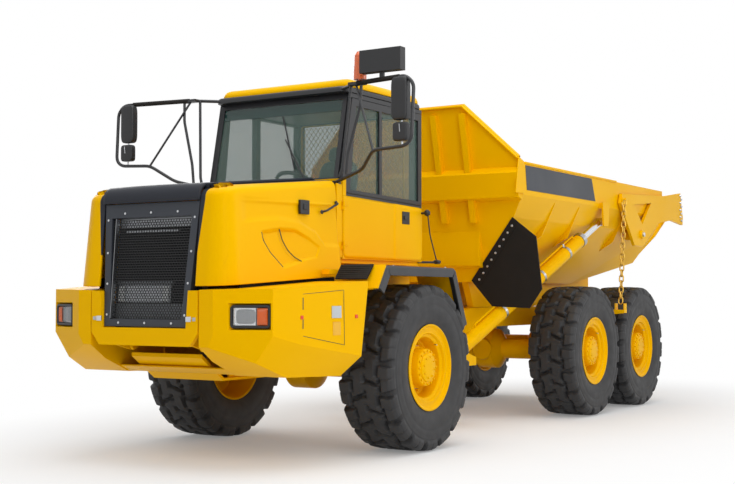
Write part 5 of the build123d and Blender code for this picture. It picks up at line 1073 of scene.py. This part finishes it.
ROOF_ROWS = [(0.030, 3.500), (0.004, 3.502), (0.0, 3.512), (0.002, 3.530), (0.012, 3.552), (0.030, 3.572),
             (0.056, 3.586), (0.090, 3.592), (0.130, 3.594), (0.136, 3.600), (0.20, 3.601), (0.40, 3.603)]
VISOR_ROWS = [(0.060, 3.4405), (0.012, 3.4405), (0.0, 3.448), (0.0, 3.470), (0.004, 3.488), (0.014, 3.4995)]
build_piece("roof_cap", [ring_stack((0.0, at(0.262)), (0.800, 0.700), 0.11, ROOF_ROWS)], yellow_enamel,
            "front_frame", replaces=["cab_roof"], sharp=50)
visor = ring_stack((0.0, at(0.232)), (0.806, 0.742), 0.09, VISOR_ROWS)
build_piece("roof_visor", [visor], black_enamel, "front_frame", sharp=50)

# %% [markdown]
# ## Mirrors
# Each mirror hangs in a loop of bent steel tube, stayed from the roof corner and the hood's rear
# corner. A tube is a circle carried along a path whose corners are rounded first.

# %% Mirror tubes and heads
mirror_loop = rounded_path([(0.705, at(-0.462), 3.470), (1.000, at(-0.640), 3.480),
                            (1.690, at(-0.886), 3.456),
                            (1.772, at(-0.888), 3.380), (1.766, at(-0.918), 2.880),
                            (1.700, at(-0.912), 2.822),
                            (1.340, at(-0.884), 2.807), (1.130, at(-0.740), 2.650),
                            (0.760, at(-0.620), 2.560)], 0.055)
sleeve = tube_part([(1.02, at(-0.648), 3.480), (1.60, at(-0.853), 3.459)], 0.023, 14)
stay = tube_part([(1.000, at(-0.640), 3.480), (1.340, at(-0.884), 2.807)], 0.011, 10)
post_outer = tube_part(rounded_path([(1.075, at(-0.662), 3.475), (1.070, at(-0.668), 3.27),
                                     (0.945, at(-0.690), 2.82),
                                     (0.925, at(-0.690), 2.62)], 0.03), 0.014, 10)
post_inner = tube_part(rounded_path([(0.920, at(-0.600), 3.474), (0.860, at(-0.660), 2.68),
                                     (0.830, at(-0.670), 2.60)],
                                    0.02), 0.014, 10)
hanger = tube_part([(1.632, at(-0.868), 3.458), (1.646, at(-0.880), 2.815)], 0.008, 8)
main_head = pillow_part((1.632, at(-0.880), 3.255), (0.084, 0.046, 0.196), 6.0, 28, 40)
small_head = pillow_part((1.640, at(-0.885), 2.955), (0.076, 0.038, 0.086), 6.0, 20, 32)
bracket = [part for low, high in (((0.930, at(-0.672), 3.462), (1.100, at(-0.600), 3.492)),
                                  ((0.690, at(-0.500), 3.455), (0.760, at(-0.440), 3.485)),
                                  ((0.735, at(-0.640), 2.545), (0.800, at(-0.592), 2.575)))
           for part in block_parts(low, high)]
cup = tube_part([(1.646, at(-0.932), 3.02), (1.646, at(-0.924), 2.95)], 0.004, 8)
mirror_parts = [tube_part(mirror_loop, 0.0165, 12), sleeve, stay, post_outer, post_inner, hanger, main_head,
                small_head, cup] + bracket
mirror_finishes = [black_enamel, flap_rubber, black_enamel, black_enamel, black_enamel, zinc_bolt,
                   black_plastic,
                   black_plastic, zinc_bolt] + [black_enamel] * len(bracket)
build_piece("mirror_loops", mirror_parts + [mirrored(p) for p in mirror_parts], mirror_finishes * 2,
            "front_frame", replaces=["mirrors"], recalculate=True)

# %% [markdown]
# ## Guard inside the rear window
# Expanded steel: slit and stretched sheet whose strands zigzag and meet in diamonds. Each strand is
# a thin square tube on a triangle wave; neighbours run in opposite phase and touch at the crests.

# %% Expanded guard
guard_y = at(0.834)
strands = []
wave_x = np.linspace(-0.645, 0.645, 44)
wave = 0.019 * (-1.0) ** np.arange(44)
for row, height in enumerate(np.arange(2.475, 3.340, 0.038)):
    path = np.column_stack([wave_x, np.full(44, guard_y), height + wave * (-1) ** row])
    strands.append(tube_part(path, 0.0042, 4))
guard_rim = [tube_part(rounded_path([(-0.655, guard_y, 2.46), (0.655, guard_y, 2.46),
                                     (0.655, guard_y, 3.35)], 0.03), 0.010, 8),
             tube_part(rounded_path([(0.655, guard_y, 3.35), (-0.655, guard_y, 3.35),
                                     (-0.655, guard_y, 2.46)], 0.03), 0.010, 8)]
build_piece("rear_window_guard", strands + guard_rim, yellow_enamel, "front_frame",
            replaces=["window_guard"])

# %% [markdown]
# ## Operator's seat
# A sprung seat: a bellows pedestal, a crowned cushion and a back rest with sewn channels, and a head
# rest. Each pad is a rounded closed form that swells between its edges; grooves are pressed along
# its seams where the cover is stitched down to the foam.

# %% Seat pads
def pad_part(centre, half, lean, power, swell, seams):
    """Superellipsoid grid, swollen by the product of two cosines and pressed in along upright seams."""
    points, faces = pillow_part((0, 0, 0), half, power, 40, 64)
    x, y, z = points.T
    share_x, share_z = np.clip(x / half[0], -1, 1), np.clip(z / half[2], -1, 1)
    crown = 1 + swell * np.cos(share_x * np.pi / 2) * np.cos(share_z * np.pi / 2)
    groove = sum(np.exp(-((np.abs(x) - seam) / 0.012) ** 2) for seam in seams) if seams else 0 * x
    y = y * crown * (1 - 0.16 * groove)
    turn = math.radians(lean)
    spun = np.column_stack([x, y * math.cos(turn) + z * math.sin(turn),
                            z * math.cos(turn) - y * math.sin(turn)])
    return spun + np.array(centre), faces


cushion = pad_part((0.0, at(0.285), 2.300), (0.245, 0.062, 0.255), -86.0, 4.0, 0.30, [0.14])
build_piece("seat_cushion", [cushion], seat_shell, "front_frame", replaces=["operator_seat"])
back_rest = pad_part((0.0, at(0.555), 2.630), (0.235, 0.058, 0.290), 10.0, 4.0, 0.28, [0.13])
build_piece("seat_back_rest", [back_rest], seat_shell, "front_frame",
            replaces=["operator_seat"])
head_rest = pad_part((0.0, at(0.622), 2.985), (0.140, 0.045, 0.085), 8.0, 3.5, 0.2, [])
build_piece("seat_head_rest", [head_rest], seat_shell, "front_frame",
            replaces=["operator_seat"])
pedestal_rows = [(0.0, 1.836), (0.0, 1.90), (0.03, 1.93), (0.012, 1.97), (0.03, 2.01), (0.012, 2.05),
                 (0.03, 2.09),
                 (0.012, 2.13), (0.03, 2.17), (0.0, 2.20), (0.0, 2.232)]
pedestal = ring_stack((0.0, at(0.300)), (0.20, 0.20), 0.05, pedestal_rows, 48)
lever = tube_part([(-0.36, at(0.05), 2.30), (-0.36, at(-0.02), 2.52)], 0.008, 8)
grip = pillow_part((-0.36, at(-0.025), 2.545), (0.018, 0.018, 0.045), 3.0, 12, 16)
console = ring_stack((-0.38, at(0.25)), (0.09, 0.30), 0.04,
                     [(0.0, 1.836), (0.0, 2.26), (0.01, 2.29), (0.03, 2.30)], 32)
build_piece("seat_pedestal", [pedestal, lever, grip, console],
            [flap_rubber, black_plastic, red_glass, black_plastic],
            "front_frame", replaces=["operator_seat"])

# %% [markdown]
# ## Bin trim
# The bin's front wall carries a broad folded channel across it and a light flange along its raised
# edges. The rail band beside the load has a slate panel, left blank. Each is a short prism in the
# wall's leaning plane, so its places are given across and up that plane.

# %% Bin channel, flange and side panels
WALL_FOOT = np.array([0.0, at(2.440), 1.640])
WALL_TILT = math.atan(0.235)
WALL_UP = np.array([0.0, -math.sin(WALL_TILT), math.cos(WALL_TILT)])
WALL_OUT = np.array([0.0, -math.cos(WALL_TILT), -math.sin(WALL_TILT)])


def on_wall(x, rise, proud):
    """Place on the front wall: across it, up its slope, and in front of its face."""
    x, rise, proud = np.broadcast_arrays(*(np.asarray(v, dtype=float)[..., None] for v in (x, rise, proud)))
    return WALL_FOOT + x * np.array([1.0, 0, 0]) + rise * WALL_UP + proud * WALL_OUT


def folded_strip(stations, profile):
    """A profile of (rise, proud) carried through stations of (x, added rise), closed by end caps."""
    rings = [on_wall(x, lift + np.array([r for r, _ in profile]), np.array([p for _, p in profile]))
             for x, lift in stations]
    caps = [np.repeat(ring.mean(axis=0)[None], len(profile), axis=0) for ring in (rings[0], rings[-1])]
    return grid_part(np.stack([caps[0]] + rings + [caps[1]]), closed_v=True)


wide_channel = folded_strip([(-1.376, 0), (1.376, 0)],
                            [(0.935, -0.002), (0.985, 0.092), (1.265, 0.092), (1.315, -0.002)])
lower_channel = folded_strip([(-0.80, 0), (0.80, 0)],
                             [(0.16, -0.002), (0.21, 0.080), (0.34, 0.080), (0.60, -0.002)])
top_edge = [(-1.380, 3.035), (-0.760, 3.640), (0.760, 3.640), (1.380, 3.035)]
flange_path = np.array([on_wall(x, (z - 1.640) * math.hypot(1, 0.235) - 0.016, 0.008) for x, z in top_edge])
flange_rings = [flange_path + np.array([0, 0, lift]) + WALL_OUT * proud
                for proud, lift in ((-0.062, -0.012), (0.034, -0.012), (0.034, 0.010), (-0.062, 0.010))]
flange = grid_part(np.stack([np.repeat(np.stack(flange_rings, axis=1)[i].mean(axis=0)[None], 4, axis=0)
                             if cap else np.stack(flange_rings, axis=1)[i]
                             for i, cap in ((0, True), (0, False), (1, False), (2, False), (3, False),
                                            (3, True))]),
                   closed_v=True)
corner_posts = []
for hand in (1, -1):
    post = plate_parts([(hand * 1.381, at(2.02), 2.62), (hand * 1.381, at(2.24), 2.62),
                        (hand * 1.381, at(2.24), 2.985), (hand * 1.381, at(2.10), 3.03)],
                       (hand * 0.010, 0, 0))
    corner_posts += post
build_piece("bin_trim", [wide_channel, lower_channel, flange] + corner_posts, yellow_enamel, "load_bin",
            recalculate=True, bevel=0.006)

panel_parts = []
for hand in (1, -1):
    panel_parts += plate_parts([(hand * 1.3805, at(2.330), 2.668), (hand * 1.3805, at(4.370), 2.668),
                                (hand * 1.3805, at(4.250), 2.945), (hand * 1.3805, at(2.290), 2.945)],
                               (hand * 0.0025, 0, 0))
build_piece("rail_panels", panel_parts, slate_enamel, "load_bin", recalculate=True)
rail_lips = [part for hand in (1, -1) for part in block_parts((min(hand * 1.300, hand * 1.392), at(2.28),
                                                               2.958),
                                                                (max(hand * 1.300, hand * 1.392), at(5.10),
                                                                 2.984))]
build_piece("rail_lips", rail_lips, yellow_enamel, "load_bin", bevel=0.006)

# %% Mud flap clamp strips and bolts
flap_parts, flap_kinds = [], []
for hand in (1, -1):
    start, end = np.array([0.690, 0.030]), np.array([1.215, 0.700])
    ahead = (end - start) / np.linalg.norm(end - start)
    across = np.array([ahead[1], -ahead[0]]) * 0.075
    corners = [start, end, end + across, start + across]
    strip = plate_parts([on_wall(hand * x, rise, 0.0145) for x, rise in corners], 0.006 * WALL_OUT)
    share = np.linspace(0.04, 0.96, 9)[:, None]
    dots = start + share * (end - start) + across * 0.5
    heads = studs_part(on_wall(hand * dots[:, 0], dots[:, 1], 0.0205), WALL_OUT, 0.013, 0.010, 8)
    flap_parts += strip + [heads]
    flap_kinds += [flap_rubber] * 3 + [zinc_bolt]
build_piece("flap_clamps", flap_parts, flap_kinds, "load_bin", recalculate=True)

# %% [markdown]
# ## Tipping cylinders
# Smooth barrels with a gland nut and a hydraulic pipe held by two clamps. The barrel is a turned
# profile laid on the line from the ball at its foot to the eye on the bin.

# %% Cylinder bodies
HOIST_FOOT = np.array([0.740, at(1.850), 0.850])
HOIST_EYE = np.array([1.345, at(4.600), 2.420])


def turned_on(start, end, profile, sides=48):
    """Profile rows (metres along from the start, radius) turned about the line between two places."""
    line = (end - start) / np.linalg.norm(end - start)
    first = np.cross(line, np.array([0, 0, 1.0]))
    first = first / np.linalg.norm(first)
    second = np.cross(line, first)
    along, radius = np.array(profile, dtype=float).T
    angle = np.linspace(0, 2 * np.pi, sides, endpoint=False)[:, None, None]
    points = (start + along[None, :, None] * line
              + radius[None, :, None] * (np.cos(angle) * first + np.sin(angle) * second))
    return grid_part(points, closed_u=True)


for hand, side_name in ((1, "left"), (-1, "right")):
    foot, eye_end = HOIST_FOOT * np.array([hand, 1, 1]), HOIST_EYE * np.array([hand, 1, 1])
    line = (eye_end - foot) / np.linalg.norm(eye_end - foot)
    up = np.array([0, 0, 1.0]) - line * line[2]
    up = up / np.linalg.norm(up)
    out = np.cross(line, up) * hand
    jacket = turned_on(foot, eye_end, [(0.30, 0.0835), (0.30, 0.0845), (2.685, 0.0845), (2.685, 0.0835)])
    nut = turned_on(foot, eye_end, [(2.690, 0.083), (2.690, 0.092), (2.752, 0.092), (2.758, 0.083)])
    pipe = tube_part(rounded_path([foot + line * 0.42 + up * 0.075, foot + line * 0.42 + up * 0.115,
                                   foot + line * 2.60 + up * 0.115, foot + line * 2.60 + up * 0.078], 0.03),
                     0.011, 10)
    bands = [turned_on(foot, eye_end, [(d, 0.084), (d, 0.089), (d + 0.035, 0.089),
                                       (d + 0.035, 0.084)]) for d in (0.9, 1.75, 2.35)]
    saddles = [studs_part([foot + line * (d + 0.0175) + up * 0.088], up, 0.020, 0.040,
                          8) for d in (0.9, 1.75, 2.35)]
    build_piece(f"hoist_pipes_{side_name}", [jacket, nut, pipe] + bands + saddles,
                [yellow_enamel, machined_steel, yellow_enamel] + [machined_steel] * 3 + [zinc_bolt] * 3,
                f"hoist_tube_{side_name}", recalculate=True)

# %% [markdown]
# ## Gate chains
# Short-link chain hangs from each tailgate arm to the frame. A link is a round wire carried along
# the outline of a stadium, and every other link is turned a quarter turn.

# %% Chain links
CHAIN_TOP = np.array([1.460, at(5.185), 2.745])
CHAIN_FOOT = np.array([1.460, at(5.016), 1.380])
chain_line = (CHAIN_FOOT - CHAIN_TOP) / np.linalg.norm(CHAIN_FOOT - CHAIN_TOP)
LINK_COUNT = 19
link_start = CHAIN_TOP + chain_line * 0.014
link_pitch = np.linalg.norm(CHAIN_FOOT - link_start) / LINK_COUNT


def link_part(start, pitch, flat):
    """Stadium of round wire: straight sides between half circles, longer than the pitch by its wire."""
    wire = 0.0095
    half_width = 0.026
    straight = pitch + 2 * wire - 2 * half_width
    angle = np.linspace(-np.pi / 2, np.pi / 2, 9)
    far = np.column_stack([straight / 2 + half_width * np.cos(angle), half_width * np.sin(angle)])
    near = -far
    loop = np.concatenate([far, near])
    middle = start + chain_line * pitch / 2
    side = np.cross(chain_line, np.array([1.0, 0, 0]))
    across = side if flat else np.array([1.0, 0, 0])
    path = middle + loop[:, :1] * chain_line + loop[:, 1:] * across
    return tube_part(path, wire, 8, closed=True)


links = [link_part(link_start + chain_line * link_pitch * i, link_pitch, i % 2) for i in range(LINK_COUNT)]
build_piece("short_link_chains", links + [mirrored(p) for p in links], chain_zinc, "chains",
            replaces=["gate_chains"], recalculate=True)

# %% [markdown]
# ## Fenders, step pads, painted shade under the hood and the nose pan
# Each fender is a yellow arch with a dark plastic lip along its outer edge. A yellow slope closes it
# at the front and carries a ribbed step pad, and a yellow wall stands behind the tyre's top. Black
# sheets under the hood's lower edge are painted shade for the gap there, and a folded pan closes the belly
# behind the front panel.

# %% Fender arches and steps
fender_line = rounded_path([(0.0, at(-0.945), 1.556), (0.0, at(-0.810), 1.760), (0.0, at(0.498), 1.756),
                            (0.0, at(0.745), 1.205)], 0.04, 4)
_, fender_normal, _ = frames_along(fender_line)
fender_normal = np.where(fender_normal[:, 2:] < 0, -fender_normal, fender_normal)


def along_fender(section):
    """Closed section of (x, sink under the line) carried along the fender's side view, with end caps."""
    arch = np.stack([fender_line + np.array([x, 0, 0]) - fender_normal * sink for x, sink in section],
                    axis=1)
    caps = [np.repeat(arch[[i]].mean(axis=1)[:, None], arch.shape[1], axis=1) for i in (0, -1)]
    return grid_part(np.concatenate([caps[0], arch, caps[1]]), closed_v=True)


arch_part = along_fender([(1.000, 0.006), (1.400, 0.006), (1.400, 0.028), (1.000, 0.028)])
arch_lip = along_fender([(1.370, 0.0), (1.436, 0.0), (1.452, 0.016), (1.452, 0.090), (1.437, 0.090),
                         (1.437, 0.034),
                         (1.370, 0.034)])
front_slope = plate_parts([(1.010, at(-0.972), 1.535), (1.447, at(-0.962), 1.550),
                           (1.447, at(-0.822), 1.764),
                           (1.010, at(-0.822), 1.764)], (0.0, -0.010, 0.004))
step_pad = plate_parts([(1.020, at(-1.008), 1.633), (1.330, at(-0.962), 1.633), (1.330, at(-0.845), 1.767),
                        (1.020, at(-0.905), 1.762)], (0.0, -0.018, 0.006))
step_ribs = [tube_part([(1.030, at(-1.030 + 0.79 * (z - 1.633)), z),
                        (1.318, at(-0.984 + 0.86 * (z - 1.633)), z)],
                       0.0035, 6) for z in np.linspace(1.646, 1.752, 7)]
well_wall = plate_parts([(0.790, at(-0.700), 1.400), (0.790, at(0.700), 1.400), (0.790, at(0.700), 1.752),
                         (0.790, at(-0.700), 1.752)], (0.010, 0, 0))
fender_bolts = studs_part([(1.235 + dx, at(d), 1.758) for dx in (-0.16, 0.16) for d in (-0.62, 0.38)],
                          (0, 0, 1),
                          0.012, 0.008, 8)
fender_parts = [arch_part, arch_lip] + front_slope + step_pad + step_ribs + well_wall + [fender_bolts]
fender_kinds = ([yellow_enamel, fender_plastic] + [yellow_enamel] * 3 + [flap_rubber] * (3 + len(step_ribs))
                + [yellow_enamel] * 3 + [zinc_bolt])
build_piece("fender_arches", fender_parts + [mirrored(p) for p in fender_parts], fender_kinds * 2,
            "front_frame", replaces=["front_fenders"], recalculate=True, sharp=35)

# %% Painted shade screens under the hood, and the nose pan
# Black rubber sheets inside the hood's lower edge are painted shade: they darken the gap under the hood where
# shadow falls.
shade_screen_parts = []
for hand in (1, -1):
    shade_screen_parts += plate_parts([(hand * 0.800, at(-2.150), 1.400), (hand * 0.800, at(-0.700), 1.400),
                                 (hand * 0.800, at(-0.700), 1.720), (hand * 0.800, at(-2.150), 1.640)],
                                (-hand * 0.008, 0, 0))
build_piece("engine_bay_screens", shade_screen_parts, flap_rubber, "front_frame", recalculate=True)
pan_side = [(-2.070, 0.858), (-1.960, 0.806), (-1.230, 0.782), (-1.230, 0.794), (-1.955, 0.818),
            (-2.065, 0.869)]
pan = plate_parts([(-0.611, at(d), z) for d, z in pan_side], (1.222, 0, 0))
build_piece("nose_pan", pan, yellow_enamel, "front_frame", recalculate=True)

# %% Painted shadow lines of the hood's pressed pocket
def on_hood(distance, height, sunk):
    """Place on the hood's flank, a little under its face."""
    return (0.8825 - (height - HOOD_FOOT) * HOOD_TAPER - sunk, distance + FRONT_AXLE_Y, height)


# Black tubes just under the flank along the pocket's outline and step: painted shadow in the pocket's creases,
# not seams.
shadow_line_paths = [[on_hood(d, z, 0.011) for d, z in line] for line in (POCKET[:5], POCKET_STEP)]
shadow_line_parts = [tube_part(rounded_path(path, 0.03, 3), 0.0048, 6) for path in shadow_line_paths]
build_piece("hood_seams", shadow_line_parts + [mirrored(p) for p in shadow_line_parts], black_enamel, "hood_body",
            recalculate=True)

# %% [markdown]
# ## Door skin, latch, wiper and sun band
# The door's pressed skin is one sheet with rounded lower corners and a soft upright crease where
# its rear third steps out. The sheet is a grid over distance and height; its outline is bent by a
# quarter circle near each end.

# %% Door skin
DOOR_FRONT, DOOR_REAR, DOOR_FACE = -0.560, 0.940, 0.8068


def door_skin():
    """Grid over the door: x = face + step(distance), lower edge lifted by a quarter circle at its ends."""
    distance = np.concatenate([np.linspace(-0.560, -0.500, 10), np.linspace(-0.48, 0.34, 30),
                               np.linspace(0.35, 0.42, 14), np.linspace(0.44, 0.86, 16),
                               np.linspace(0.87, 0.940, 12)])
    share = np.linspace(0, 1, 24)[None, :]
    corner = 0.060
    reach = np.clip(corner - np.minimum(distance - DOOR_FRONT, DOOR_REAR - distance), 0, corner)
    lift = corner - np.sqrt(np.clip(corner ** 2 - reach ** 2, 0, None))
    low = 1.842 + lift
    high = np.interp(distance, [-0.560, -0.508, -0.507, 0.940],
                     [2.444, 2.442, 2.440, 2.401]) - lift * (distance > 0.5)
    z = low[:, None] + share * (high - low)[:, None]
    edge = np.minimum(np.minimum(share, 1 - share) * 0.58,
                      np.minimum(distance - DOOR_FRONT, DOOR_REAR - distance)[:, None])
    x = DOOR_FACE + 0.004 * smooth_step(edge / 0.012) + 0.009 * smooth_step((distance - 0.360) / 0.040)[:, None]
    return grid_part(np.stack([x, np.broadcast_to(distance[:, None] + FRONT_AXLE_Y, z.shape), z], axis=-1))


skin = build_piece("door_skin", [door_skin()], yellow_enamel, "cab_door")
sheet = skin.modifiers.new("sheet_thickness", "SOLIDIFY")
sheet.thickness = 0.0035
sheet.offset = -1
post_cover = plate_parts([(0.790, at(-0.668), 1.850), (0.790, at(-0.576), 1.848), (0.790, at(-0.576), 2.540),
                          (0.790, at(-0.668), 2.548)], (0.014, 0, 0))
build_piece("hinge_post_cover", post_cover + [mirrored(p) for p in post_cover], yellow_enamel, "front_frame",
            recalculate=True)
latch = block_parts((0.816, at(0.520), 2.217), (0.828, at(0.663), 2.345))
pull = block_parts((0.827, at(0.545), 2.262), (0.840, at(0.640), 2.300))
door_trim = tube_part(rounded_path([(0.812, at(-0.500), 2.470), (0.812, at(0.925), 2.430)], 0.02), 0.006, 8)
build_piece("door_latch", latch + pull + [door_trim], black_plastic, "cab_door",
            bevel=0.003)

# %% Windshield band, wiper and rear grab knobs
def on_windshield(x, height, proud):
    """Place on the windshield's slope, in front of its outer face."""
    return np.array([x, at(-0.572 + (height - 2.615) * 0.2078) - proud, height])


band = plate_parts([on_windshield(x, z, 0.002) for x,
                    z in ((-0.728, 3.272), (0.708, 3.272), (0.708, 3.380), (-0.728, 3.380))],
                   (0, -0.002, 0))
build_piece("windshield_sun_band", band, sun_band_glass, "front_frame", recalculate=True)
wiper_arm = tube_part([on_windshield(0.40, 2.590, 0.030), on_windshield(0.36, 2.66, 0.045),
                       on_windshield(0.10, 3.02, 0.030)], 0.008, 8)
wiper_blade = tube_part([on_windshield(0.24, 2.72, 0.012), on_windshield(0.02, 3.26, 0.012)], 0.008, 6)
wiper_boss = studs_part([on_windshield(0.40, 2.590, 0.004)], (0, -1, 0.2), 0.028, 0.030, 16)
knob = pillow_part((0.900, at(0.900), 2.347), (0.034, 0.034, 0.034), 2.0, 16, 24)
knob_low = pillow_part((0.900, at(1.110), 1.839), (0.040, 0.034, 0.022), 3.0, 14, 24)
knob_rod = tube_part(rounded_path([(0.900, at(0.915), 2.330), (0.900, at(0.960), 2.12),
                                   (0.900, at(1.105), 1.845)], 0.05), 0.007, 8)
knob_arm = tube_part([(0.800, at(0.930), 2.347), (0.900, at(0.900), 2.347)], 0.012, 8)
knob_foot = tube_part([(0.770, at(0.930), 1.835), (0.900, at(1.110), 1.835)], 0.012, 8)
build_piece("wiper_and_knobs", [wiper_arm, wiper_blade, wiper_boss, knob, knob_low, knob_rod, knob_arm,
                                knob_foot],
            black_plastic, "front_frame", recalculate=True)

# %% Tailgate nuts and pivot bosses
gate_parts, gate_kinds = [], []
for hand in (1, -1):
    lug_places = [(hand * 1.434, at(7.545 + 0.045 * (i % 2)), 2.945 - 0.052 * i) for i in range(8)]
    nuts_here = studs_part(lug_places, (hand, 0, 0), 0.016, 0.022, 6)
    boss = studs_part([(hand * 1.4325, at(5.884), 2.308)], (hand, 0, 0), 0.058, 0.030, 20)
    boss_nut = studs_part([(hand * 1.460, at(5.884), 2.308)], (hand, 0, 0), 0.034, 0.026, 6)
    chain_boss = studs_part([(hand * 1.434, at(5.185), 2.745)], (hand, 0, 0), 0.040, 0.012, 12)
    gate_parts += [nuts_here, boss, boss_nut, chain_boss]
    gate_kinds += [zinc_bolt, yellow_enamel, zinc_bolt, yellow_enamel]
build_piece("tailgate_fittings", gate_parts, gate_kinds, "gate")
caps = studs_part([(hand * 0.531, at(d), z) for hand in (1, -1) for d, z in ((3.30, 1.24), (5.62, 1.24))],
                  [(hand, 0, 0) for hand in (1, -1) for _ in range(2)], 0.022, 0.020, 12)
build_piece("grease_caps", [caps], red_glass, "rear_frame")

# %% [markdown]
# ## Finishes for the solids that stay
# Where a CAD node already has the real outline it stays, and only its finish is new.

# %% Assign finishes to nodes
NODE_FINISHES = {
    yellow_enamel: ["deck", "bin_body", "cab_lower", "cab_roof", "door_panel", "side_boxes", "bumper_panel",
                    "tailgate",
                    "belly_guard", "hitch", "rear_chassis", "rear_axles", "walking_beams", "front_axle",
                    "front_chassis", "hood", "steering_barrel_left", "steering_barrel_right",
                    "hoist_barrel_left", "hoist_barrel_right", "window_guard"],
    slate_enamel: ["grille_frame", "engine", "gearbox"],
    black_enamel: ["cab_frame", "door_window_frame"],
    black_plastic: ["mirrors", "lamp_box", "dashboard"],
    flap_rubber: ["mud_flaps"],
    mesh_paint: ["grille_mesh"],
    radiator_paint: ["radiator"],
    seat_shell: ["operator_seat"],
    chrome_rod: ["steering_rod_left", "steering_rod_right", "hoist_rod_left", "hoist_rod_right"],
    chain_zinc: ["gate_chains"],
    cab_glazing: ["cab_glass", "door_glass"],
    lens_glass: ["headlamps"],
    amber_glass: ["beacon"],
}


def node_object(node):
    """The object of a CAD node, found by its name."""
    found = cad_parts[node]
    return found if isinstance(found, bpy.types.Object) else bpy.data.objects[found]


for finish, nodes in NODE_FINISHES.items():
    for node in nodes:
        mesh = node_object(node).data
        mesh.materials.clear()
        mesh.materials.append(finish)
print(sum(len(nodes) for nodes in NODE_FINISHES.values()), "nodes have their finish")
